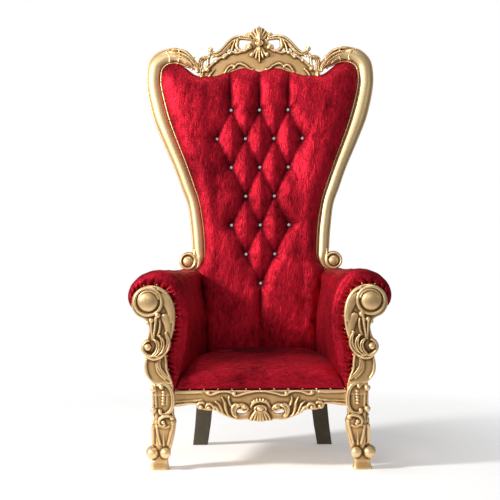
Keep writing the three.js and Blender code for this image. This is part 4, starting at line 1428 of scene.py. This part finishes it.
@dataclass(frozen=True)
class Studs:
    """Small heads set at points or along lines by a geometry node tree."""

    name: str
    radius: float
    height: float
    spacing: float
    facets: int = 0
    culet: float = 0.45
    seed: int = 7

    def tree(self, material: bpy.types.Material) -> tuple[bpy.types.GeometryNodeTree, dict[str, str]]:
        """Builds the node tree.

        Args:
            material: The finish of the heads.

        Returns:
            The tree and the identifier of each named input.
        """
        tree = bpy.data.node_groups.new(self.name, "GeometryNodeTree")
        for way in ("INPUT", "OUTPUT"):
            tree.interface.new_socket("Geometry", in_out=way, socket_type="NodeSocketGeometry")
        names = {}
        for name, kind, value in (
            ("Spacing", "Float", self.spacing * MM), ("Radius", "Float", self.radius * MM),
            ("Height", "Float", self.height * MM), ("Facing", "Vector", (math.radians(90), 0, 0)),
            ("Seed", "Int", self.seed),
        ):
            item = tree.interface.new_socket(name, in_out="INPUT", socket_type=f"NodeSocket{kind}")
            item.default_value = value
            names[name] = item.identifier

        def made(kind: str, values: dict[str, object], **settings: object) -> bpy.types.NodeSocket:
            """Adds a node and gives its first output."""
            return add_node(tree, kind, settings, values).outputs[0]

        given = tree.nodes.new("NodeGroupInput").outputs
        points = given["Geometry"]
        if self.spacing:
            curve = made("GeometryNodeMeshToCurve", {"Mesh": points})
            points = made(
                "GeometryNodeResampleCurve", {"Curve": curve, "Length": given["Spacing"]}, mode="LENGTH")
        if self.facets:
            crown, culet = (
                made("GeometryNodeMeshCone", {
                    "Vertices": self.facets, "Radius Top": top, "Radius Bottom": bottom, "Depth": depth,
                })
                for top, bottom, depth in ((0.56, 1.0, 0.55), (1.0, 0.35, self.culet))
            )
            lower = made("GeometryNodeTransform", {"Geometry": culet, "Translation": (0, 0, -self.culet)})
            both = add_node(tree, "GeometryNodeJoinGeometry", {}, {"Geometry": lower})
            tree.links.new(crown, both.inputs["Geometry"])
            head = made("GeometryNodeMergeByDistance", {"Geometry": both.outputs[0]})
        else:
            head = made("GeometryNodeMeshUVSphere", {"Segments": 12, "Rings": 7, "Radius": 1.0})
        turn = made("FunctionNodeRandomValue", {
            "Min": (-0.08, -0.08, -0.6), "Max": (0.08, 0.08, 0.6), "Seed": given["Seed"],
        }, data_type="FLOAT_VECTOR")
        rotation = made("FunctionNodeRotateRotation", {
            "Rotation": made("FunctionNodeEulerToRotation", {"Euler": given["Facing"]}),
            "Rotate By": made("FunctionNodeEulerToRotation", {"Euler": turn}),
        }, rotation_space="LOCAL")
        size = made("ShaderNodeCombineXYZ", {"X": given["Radius"], "Y": given["Radius"], "Z": given["Height"]})
        heads = made("GeometryNodeInstanceOnPoints", {
            "Points": points, "Instance": head, "Rotation": rotation, "Scale": size,
        })
        real = made("GeometryNodeRealizeInstances", {"Geometry": heads})
        finished = made("GeometryNodeSetMaterial", {"Geometry": real, "Material": material})
        add_node(tree, "NodeGroupOutput", {}, {"Geometry": finished})
        return tree, names

    def set_along(
        self, lines: Iterable[np.ndarray], material: bpy.types.Material,
        facing: tuple[float, float, float] = (90, 0, 0),
    ) -> bpy.types.Object:
        """Sets the heads along lines, or at single points, and makes them a plain mesh.

        Args:
            lines: Corners of each line in the maker's frame.
            material: The finish of the heads.
            facing: The turn of a head from facing up, in degrees.

        Returns:
            The heads as one object.
        """
        corners: list[list[float]] = []
        edges: list[tuple[int, int]] = []
        for line in lines:
            start = len(corners)
            corners += placed(np.atleast_2d(line)).tolist()
            edges += [(k, k + 1) for k in range(start, len(corners) - 1)]
        mesh = bpy.data.meshes.new(self.name)
        mesh.from_pydata(corners, edges if self.spacing else [], [])
        piece = object_of(mesh)
        tree, names = self.tree(material)
        modifier = piece.modifiers.new("studs", "NODES")
        modifier.node_group = tree
        modifier[names["Facing"]] = tuple(math.radians(angle) for angle in facing)
        modifier[names["Seed"]] = self.seed
        baked(piece)
        return piece


@dataclass
class Fixings:
    """Where the upholstery nails and the crystal buttons are set."""

    back: TuftedBack = field(default_factory=TuftedBack)

    def stile_lines(self) -> list[np.ndarray]:
        """The nails on the inner lips of both stiles."""
        line = smooth_line(STILE_LINE, 4.0)
        x, z = (line[:, :2] - sideways(line) * line[:, 2:] * 0.9).T
        keep = (z > 800) & (x > 280) | (z > 1000) & (z < 1640) & (x > 272)
        keep &= np.arange(len(x)) < len(x) - 12
        lip = np.column_stack([x, RECLINE.depth(z) - 12.4, z])[keep]
        return [lip, lip * np.array([-1, 1, 1])]

    def seat_lines(self) -> list[np.ndarray]:
        """The nails along the front of the seat and the arms."""
        seat = np.array([(x, 29.0, 320.0) for x in np.linspace(-338, 338, 60)])
        inner = smooth_line([(347, 352), (354, 374), (365, 402), (367, 432), (370, 463), (363, 492),
                             (348, 528), (338, 566), (332, 606), (334, 646), (345, 684), (368, 719),
                             (404, 740), (443, 744), (478, 732), (503, 707)], 5.0)
        right = np.column_stack([inner[:, 0], np.full(len(inner), 24.0), inner[:, 1]])
        return [seat, right, right * np.array([-1, 1, 1])]

    def outer_back_lines(self) -> list[np.ndarray]:
        """The nails round the outer back."""
        side = smooth_line([(227, 330), *[(x - 9, z) for x, z in BACK_SIDE[1:]]], 5.0)
        top = smooth_line([(x - 6, z - 9) for x, z in BACK_TOP[::-1][:-1]] + [(0, 1625)], 5.0)
        right = np.vstack([side, top])
        loop = np.vstack([right, right[::-1] * np.array([-1, 1])])
        y = RECLINE.depth(loop[:, 1]) + 44.5
        return [np.column_stack([loop[:, 0], y, loop[:, 1]])]

    def button_points(self) -> np.ndarray:
        """Where the crystals sit."""
        places = self.back.buttons()
        y = RECLINE.depth(places[:, 1]) - self.back.pit - self.back.button_clear - 6.5
        return np.column_stack([places[:, 0], y, places[:, 1]])


# ---------------------------------------------------------------- finishes


class Value:
    """A number in a shader tree that can be used in expressions."""

    def __init__(self, shader: "Shader", socket: bpy.types.NodeSocket) -> None:
        """Wraps a socket."""
        self.shader = shader
        self.socket = socket

    def _with(self, operation: str, first: object, second: object) -> "Value":
        """Adds a Math node."""
        node = self.shader.node("ShaderNodeMath", {"operation": operation}, {0: first, 1: second})
        return Value(self.shader, node.outputs[0])

    def __add__(self, other: "Value | float") -> "Value":
        """Adds."""
        return self._with("ADD", self, other)

    __radd__ = __add__

    def __sub__(self, other: "Value | float") -> "Value":
        """Takes away."""
        return self._with("SUBTRACT", self, other)

    def __rsub__(self, other: float) -> "Value":
        """Is taken away."""
        return self._with("SUBTRACT", other, self)

    def __mul__(self, other: "Value | float") -> "Value":
        """Multiplies."""
        return self._with("MULTIPLY", self, other)

    __rmul__ = __mul__

    def clamped(self) -> "Value":
        """The number held between 0 and 1."""
        return self._with("MINIMUM", self._with("MAXIMUM", self, 0.0), 1.0)

    def above(self, low: float, high: float) -> "Value":
        """How far the number has come from one limit to another, from 0 to 1."""
        return ((self - low) * (1 / (high - low))).clamped()


Colour = tuple[float, float, float]


class Shader:
    """A material built from a Principled shader."""

    def __init__(self, name: str, **constants: object) -> None:
        """Makes the material.

        Args:
            name: Its name.
            constants: Values of the shader's own sockets, with `_` for a space.
        """
        self.material = bpy.data.materials.new(name)
        self.material.use_nodes = True
        self.tree = self.material.node_tree
        self.surface = self.tree.nodes["Principled BSDF"]
        self.where = self.node("ShaderNodeTexCoord").outputs["Object"]
        for key, value in constants.items():
            self.surface.inputs[key.replace("_", " ")].default_value = value

    def node(
        self,
        kind: str,
        settings: dict[str, object] | None = None,
        values: dict[object, object] | None = None,
    ) -> bpy.types.Node:
        """Adds a node.

        Args:
            kind: Its type.
            settings: Its own settings, which are set first.
            values: The values or links of its sockets.

        Returns:
            The node.
        """
        plain = {key: getattr(value, "socket", value) for key, value in (values or {}).items()}
        return add_node(self.tree, kind, settings or {}, plain)

    def feed(self, name: str, value: object) -> None:
        """Feeds one socket of the surface."""
        fill_socket(self.tree, self.surface.inputs[name], getattr(value, "socket", value))

    def noise(self, scale: float, detail: float = 3.0, rough: float = 0.55, stretch: Colour = (1, 1, 1),
              twist: float = 0.0) -> Value:
        """A cloudy number about from 0 to 1.

        Args:
            scale: How many clouds there are in a metre.
            detail: How many finer layers it has.
            rough: How strong the finer layers are.
            stretch: How closely it is packed along each axis.
            twist: How much it is distorted.

        Returns:
            The number.
        """
        where = self.node("ShaderNodeVectorMath", {"operation": "MULTIPLY"}, {0: self.where, 1: stretch})
        node = self.node("ShaderNodeTexNoise", {}, {
            "Vector": where.outputs[0], "Scale": scale, "Detail": detail, "Roughness": rough,
            "Distortion": twist,
        })
        return Value(self, node.outputs["Fac"])

    def attribute(self, name: str) -> Value:
        """A number stored on the mesh."""
        return Value(self, self.node("ShaderNodeAttribute", {"attribute_name": name}).outputs["Fac"])

    def mix(self, share: Value | float, first: object, second: object) -> bpy.types.NodeSocket:
        """Mixes two colours."""
        node = self.node("ShaderNodeMix", {"data_type": "RGBA"}, {0: share, 6: first, 7: second})
        return node.outputs[2]

    def bump(self, height: Value, distance: float, strength: float = 1.0) -> None:
        """Gives the surface a fine relief."""
        node = self.node("ShaderNodeBump", {}, {"Height": height, "Distance": distance, "Strength": strength})
        self.feed("Normal", node.outputs["Normal"])


@dataclass(frozen=True)
class Gilding:
    """Satin gilding with a brown glaze and painted shade in the hollows, and a painted highlight on the
    ridges.
    """

    name: str = "satin_gilding"
    bright: Colour = (0.94, 0.70, 0.38)
    body: Colour = (0.64, 0.37, 0.145)
    glaze_and_shade: Colour = (0.11, 0.052, 0.014)

    def material(self) -> bpy.types.Material:
        """Builds the material."""
        shader = Shader(self.name)
        hollow = shader.attribute("hollow")
        cloud = shader.noise(11, 3)
        fine = shader.noise(170, 4, 0.6)
        leaf = shader.noise(38, 2, 0.5, twist=0.8)
        # Painted shade: hollows are darkened towards the glaze colour, partly an antique glaze and partly
        # shade.
        glazed_and_shaded = (hollow * 1.5 - 0.10 + (cloud - 0.5) * 0.55).clamped()
        # Painted highlight: ridges are lightened towards the bright colour, with random mottling from the
        # noise.
        ridge_highlight_and_mottle = ((0 - hollow) * 1.1 + 0.22 + (cloud - 0.5) * 0.5 + (leaf - 0.5) * 0.35).clamped()
        colour = shader.mix(ridge_highlight_and_mottle, self.body, self.bright)
        colour = shader.mix(glazed_and_shaded * 0.9, colour, self.glaze_and_shade)
        shader.feed("Base Color", colour)
        shader.feed("Metallic", 0.72 - glazed_and_shaded * 0.4)
        shader.feed("Roughness", 0.44 + glazed_and_shaded * 0.2 + (fine - 0.5) * 0.14 + (leaf - 0.5) * 0.08)
        shader.bump(fine + leaf * 1.5, 0.0005, 0.5)
        return shader.material


# Depths behind the whole throne, so no painted shade is added.
NOWHERE = (8.0, 9.0)


@dataclass(frozen=True)
class Velvet:
    """Crushed velvet, with patches and streaks where the pile lies another way, and painted shade in its
    creases.

    Where `shaded` gives two depths in metres, the colour is darkened as painted shade from the first to behind
    the second.
    """

    name: str
    stretch: Colour
    shaded: tuple[float, float] = NOWHERE
    bright: Colour = (0.58, 0.012, 0.032)
    deep: Colour = (0.15, 0.0015, 0.007)
    shadow: Colour = (0.04, 0.0005, 0.003)

    def material(self) -> bpy.types.Material:
        """Builds the material."""
        shader = Shader(self.name, Sheen_Weight=0.12, Sheen_Roughness=0.3, Sheen_Tint=(1.0, 0.10, 0.14, 1.0),
                        Specular_IOR_Level=0.2, Metallic=0.8)
        broad = shader.noise(6, 2)
        crush = shader.noise(95, 4, 0.65, self.stretch, 0.7)
        fleck = shader.noise(150, 3, 0.7, self.stretch, 1.2)
        pile = shader.noise(900, 2, 0.6)
        lay = (0.55 + (crush - 0.5) * 2.0 + (broad - 0.5) * 1.6).clamped()
        colour = shader.mix(lay, self.deep, self.bright)
        patch = shader.noise(9, 2).above(0.42, 0.6)
        # Painted shade: creases and hollows of the cover are darkened.
        crease_shade = shader.attribute("hollow").above(0.1, 1.0) * 0.8
        dark = ((1 - fleck.above(0.33, 0.40)) * (0.25 + patch * 0.6) + crease_shade).clamped()
        depth = Value(shader, shader.node("ShaderNodeSeparateXYZ", {}, {0: shader.where}).outputs["Y"])
        # Painted shade: the colour darkens towards the back, between the two depths in `shaded`.
        away = (depth + (crush - 0.5) * 0.12 + (patch - 0.5) * 0.04).above(*self.shaded) * 1.2
        dark = (dark + away * (1.3 - lay)).clamped()
        # Random flecks and patches and the painted shade are mixed towards the darkest colour.
        colour = shader.mix(dark, colour, self.shadow)
        shader.feed("Base Color", colour)
        shader.feed("Roughness", 0.56 - lay * 0.14 + dark * 0.2)
        shader.bump(crush * 1.0 + fleck * 0.5 + pile * 0.06, 0.006, 0.55)
        return shader.material


@dataclass(frozen=True)
class Timber:
    """Plain wood with its grain along one axis."""

    name: str
    light: Colour
    dark: Colour
    stretch: Colour
    rough: float

    def material(self) -> bpy.types.Material:
        """Builds the material."""
        shader = Shader(self.name)
        grain = shader.noise(90, 5, 0.65, self.stretch, 1.2)
        cloud = shader.noise(8, 2)
        share = (grain * 1.4 - 0.2 + (cloud - 0.5) * 0.6).clamped()
        shader.feed("Base Color", shader.mix(share, self.dark, self.light))
        shader.feed("Roughness", self.rough + (grain - 0.5) * 0.2)
        shader.bump(grain, 0.0006, 0.5)
        return shader.material


@dataclass(frozen=True)
class Crystal:
    """Foiled crystal."""

    name: str = "foiled_crystal"

    def material(self) -> bpy.types.Material:
        """Builds the material."""
        shader = Shader(self.name, Metallic=0.55, Coat_Weight=0.6, Coat_Roughness=0.02, IOR=1.7)
        tint = shader.noise(300, 1)
        shader.feed("Base Color", shader.mix(tint, (0.96, 0.93, 0.95), (0.80, 0.84, 0.93)))
        shader.feed("Roughness", 0.06 + tint * 0.06)
        return shader.material


@dataclass(frozen=True)
class Brass:
    """Pale gilt nail heads."""

    name: str = "pale_gilt"

    def material(self) -> bpy.types.Material:
        """Builds the material."""
        shader = Shader(self.name, Metallic=0.9)
        wear = shader.noise(260, 3)
        shader.feed("Base Color", shader.mix(wear, (0.62, 0.42, 0.18), (0.98, 0.86, 0.60)))
        shader.feed("Roughness", 0.24 + wear * 0.14)
        return shader.material


# ---------------------------------------------------------------- studio


@dataclass
class Studio:
    """The pale floor, the soft lights and the camera."""

    eye: tuple[float, float, float] = (0.0794, -6.5, 1.1751)
    lens: float = 118.16
    yaw: float = -0.0177
    pitch: float = 0.0456
    roll: float = -0.0087
    felt: float = 0.2

    def floor(self) -> None:
        """Lays the floor."""
        mesh = bpy.data.meshes.new("floor")
        mesh.from_pydata([(-9, -9, 0), (9, -9, 0), (9, 9, 0), (-9, 9, 0)], [], [(0, 1, 2, 3)])
        floor = object_of(mesh)
        shader = Shader("pale_floor", Roughness=0.9, Emission_Strength=0.27)
        shader.feed("Base Color", shader.mix(shader.noise(2, 2), (0.86, 0.86, 0.855), (0.90, 0.90, 0.895)))
        far = shader.node("ShaderNodeVectorMath", {"operation": "LENGTH"}, {0: shader.where}).outputs["Value"]
        shader.feed("Alpha", 1 - Value(shader, far).above(0.75, 2.1))
        mesh.materials.append(shader.material)

    def light(self, name: str, place: Sequence[float], aim: Sequence[float], size: float, power: float,
              colour: Colour = (1, 1, 1)) -> None:
        """Hangs one soft light."""
        data = bpy.data.lights.new(name, "AREA")
        data.shape = "DISK"
        data.size = size
        data.energy = power
        data.color = colour
        lamp = bpy.data.objects.new(name, data)
        lamp.location = place
        lamp.rotation_euler = (Vector(aim) - Vector(place)).to_track_quat("-Z", "Y").to_euler()
        bpy.context.scene.collection.objects.link(lamp)

    def lights(self) -> None:
        """Hangs the lights and sets the surroundings."""
        self.light("key", (-3.4, -1.5, 2.5), (0.0, 0.1, 1.0), 0.7, 205, (1.0, 0.98, 0.95))
        self.light("front", (-1.2, -5.0, 3.0), (0, 0, 0.9), 2.0, 36)
        self.light("side", (3.2, -1.2, 1.8), (0, 0.1, 0.9), 1.2, 6)
        self.light("top", (0.0, 0.2, 3.8), (0, 0.1, 1.2), 1.4, 26)
        world = bpy.data.worlds.new("room")
        bpy.context.scene.world = world
        world.use_nodes = True
        tree = world.node_tree
        felt, seen = (
            add_node(tree, "ShaderNodeBackground", {}, {"Color": (1, 1, 1), "Strength": strength}).outputs[0]
            for strength in (self.felt, 1.0)
        )
        path = tree.nodes.new("ShaderNodeLightPath").outputs["Is Camera Ray"]
        mix = add_node(tree, "ShaderNodeMixShader", {}, {0: path, 1: felt, 2: seen})
        tree.links.new(mix.outputs[0], tree.nodes["World Output"].inputs[0])

    def camera(self) -> None:
        """Sets up the camera."""
        ahead = Vector((math.sin(self.yaw) * math.cos(self.pitch), math.cos(self.yaw) * math.cos(self.pitch),
                        -math.sin(self.pitch)))
        right = Vector((math.cos(self.yaw), -math.sin(self.yaw), 0))
        up = right.cross(ahead)
        c, s = math.cos(self.roll), math.sin(self.roll)
        turned_right, turned_up = right * c + up * s, right * -s + up * c
        data = bpy.data.cameras.new("camera")
        data.lens = self.lens
        data.sensor_width = 36.0
        camera = bpy.data.objects.new("camera", data)
        matrix = Matrix((turned_right, turned_up, -ahead)).transposed().to_4x4()
        matrix.translation = Vector((self.eye[0], self.eye[1] + DEPTH_SHIFT * MM, self.eye[2]))
        camera.matrix_world = matrix
        bpy.context.scene.collection.objects.link(camera)
        bpy.context.scene.camera = camera

    def build(self) -> None:
        """Sets up everything."""
        self.floor()
        self.lights()
        self.camera()
        bpy.context.scene.view_settings.view_transform = "Standard"


# ---------------------------------------------------------------- the throne


def pair(piece: bpy.types.Object, base: str, material: bpy.types.Material) -> None:
    """Settles a right-hand piece and its left-hand copy.

    Args:
        piece: The right-hand piece.
        base: The name without its side.
        material: The finish of both.
    """
    shaded_smooth(piece)
    left = mirrored_copy(piece, f"dressed_{base}_{Side.LEFT.label}")
    piece.name = piece.data.name = f"dressed_{base}_{Side.RIGHT.label}"
    settle(piece, material, [f"{base}_{Side.RIGHT.label}"])
    settle(left, material, [f"{base}_{Side.LEFT.label}"])


def single(piece: bpy.types.Object, node: str, material: bpy.types.Material) -> None:
    """Settles a piece that stands for one CAD node."""
    shaded_smooth(piece)
    piece.name = piece.data.name = f"dressed_{node}"
    settle(piece, material, [node])


def main() -> None:
    """Builds the throne piece by piece."""
    logging.basicConfig(level=logging.INFO, format="%(name)s: %(message)s")
    Studio().build()

    gilding = Gilding().material()
    upright_velvet = Velvet("velvet_back", (1.0, 1.0, 0.34)).material()
    # The seat gets painted shade towards its back, between these two depths.
    seat_velvet = Velvet("velvet_seat", (0.38, 1.0, 1.0), (-0.27, -0.10)).material()
    arm_velvet = Velvet("velvet_arm", (1.0, 0.6, 0.6)).material()
    dark_wood = Timber(
        "dark_stain", (0.085, 0.066, 0.034), (0.034, 0.025, 0.012), (1, 1, 0.08), 0.42).material()
    plywood = Timber("plywood", (0.52, 0.36, 0.20), (0.36, 0.23, 0.12), (1, 0.08, 1), 0.7).material()
    crystal = Crystal().material()
    gilt = Brass().material()

    single(Crest().build(), "crest_rail", gilding)
    pair(Stile().build(), "back_stile", gilding)
    single(TuftedBack().build(), "back_cushion", upright_velvet)
    single(OuterBack().build(), "outer_back", upright_velvet)
    pair(ArmPad().build(), "arm_pad", arm_velvet)
    pair(ArmFront().build(), "arm_front", gilding)
    pair(FrontLeg().build(), "front_leg", gilding)
    single(FrontRail().build(), "seat_rail_front", gilding)
    single(SeatCushion().build(), "seat_cushion", seat_velvet)
    pair(RearLeg().build(), "rear_leg", dark_wood)
    rails = PlainRails()
    pair(rails.side(), "seat_rail", gilding)
    single(rails.rear(), "seat_rail_rear", gilding)
    single(rails.board(), "seat_board", plywood)

    fixings = Fixings()
    buttons = Studs("crystal_buttons", 7.2, 9.0, 0.0, 10).set_along(
        fixings.button_points(), crystal)
    names = [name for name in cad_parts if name.startswith("button_")]
    settle(buttons, crystal, names)
    for studs, lines, facing in (
        (Studs("upholstery_nails", 3.4, 2.2, 43.0), fixings.stile_lines(), (90, 0, 0)),
        (Studs("seat_nails", 3.2, 2.2, 52.0), fixings.seat_lines(), (90, 0, 0)),
        (Studs("outer_back_nails", 4.2, 2.4, 26.0), fixings.outer_back_lines(), (-90, 0, 0)),
    ):
        nails = studs.set_along(lines, gilt, facing)
        shaded_smooth(nails)
        settle(nails, gilt)


if __name__ == "__main__":
    main()
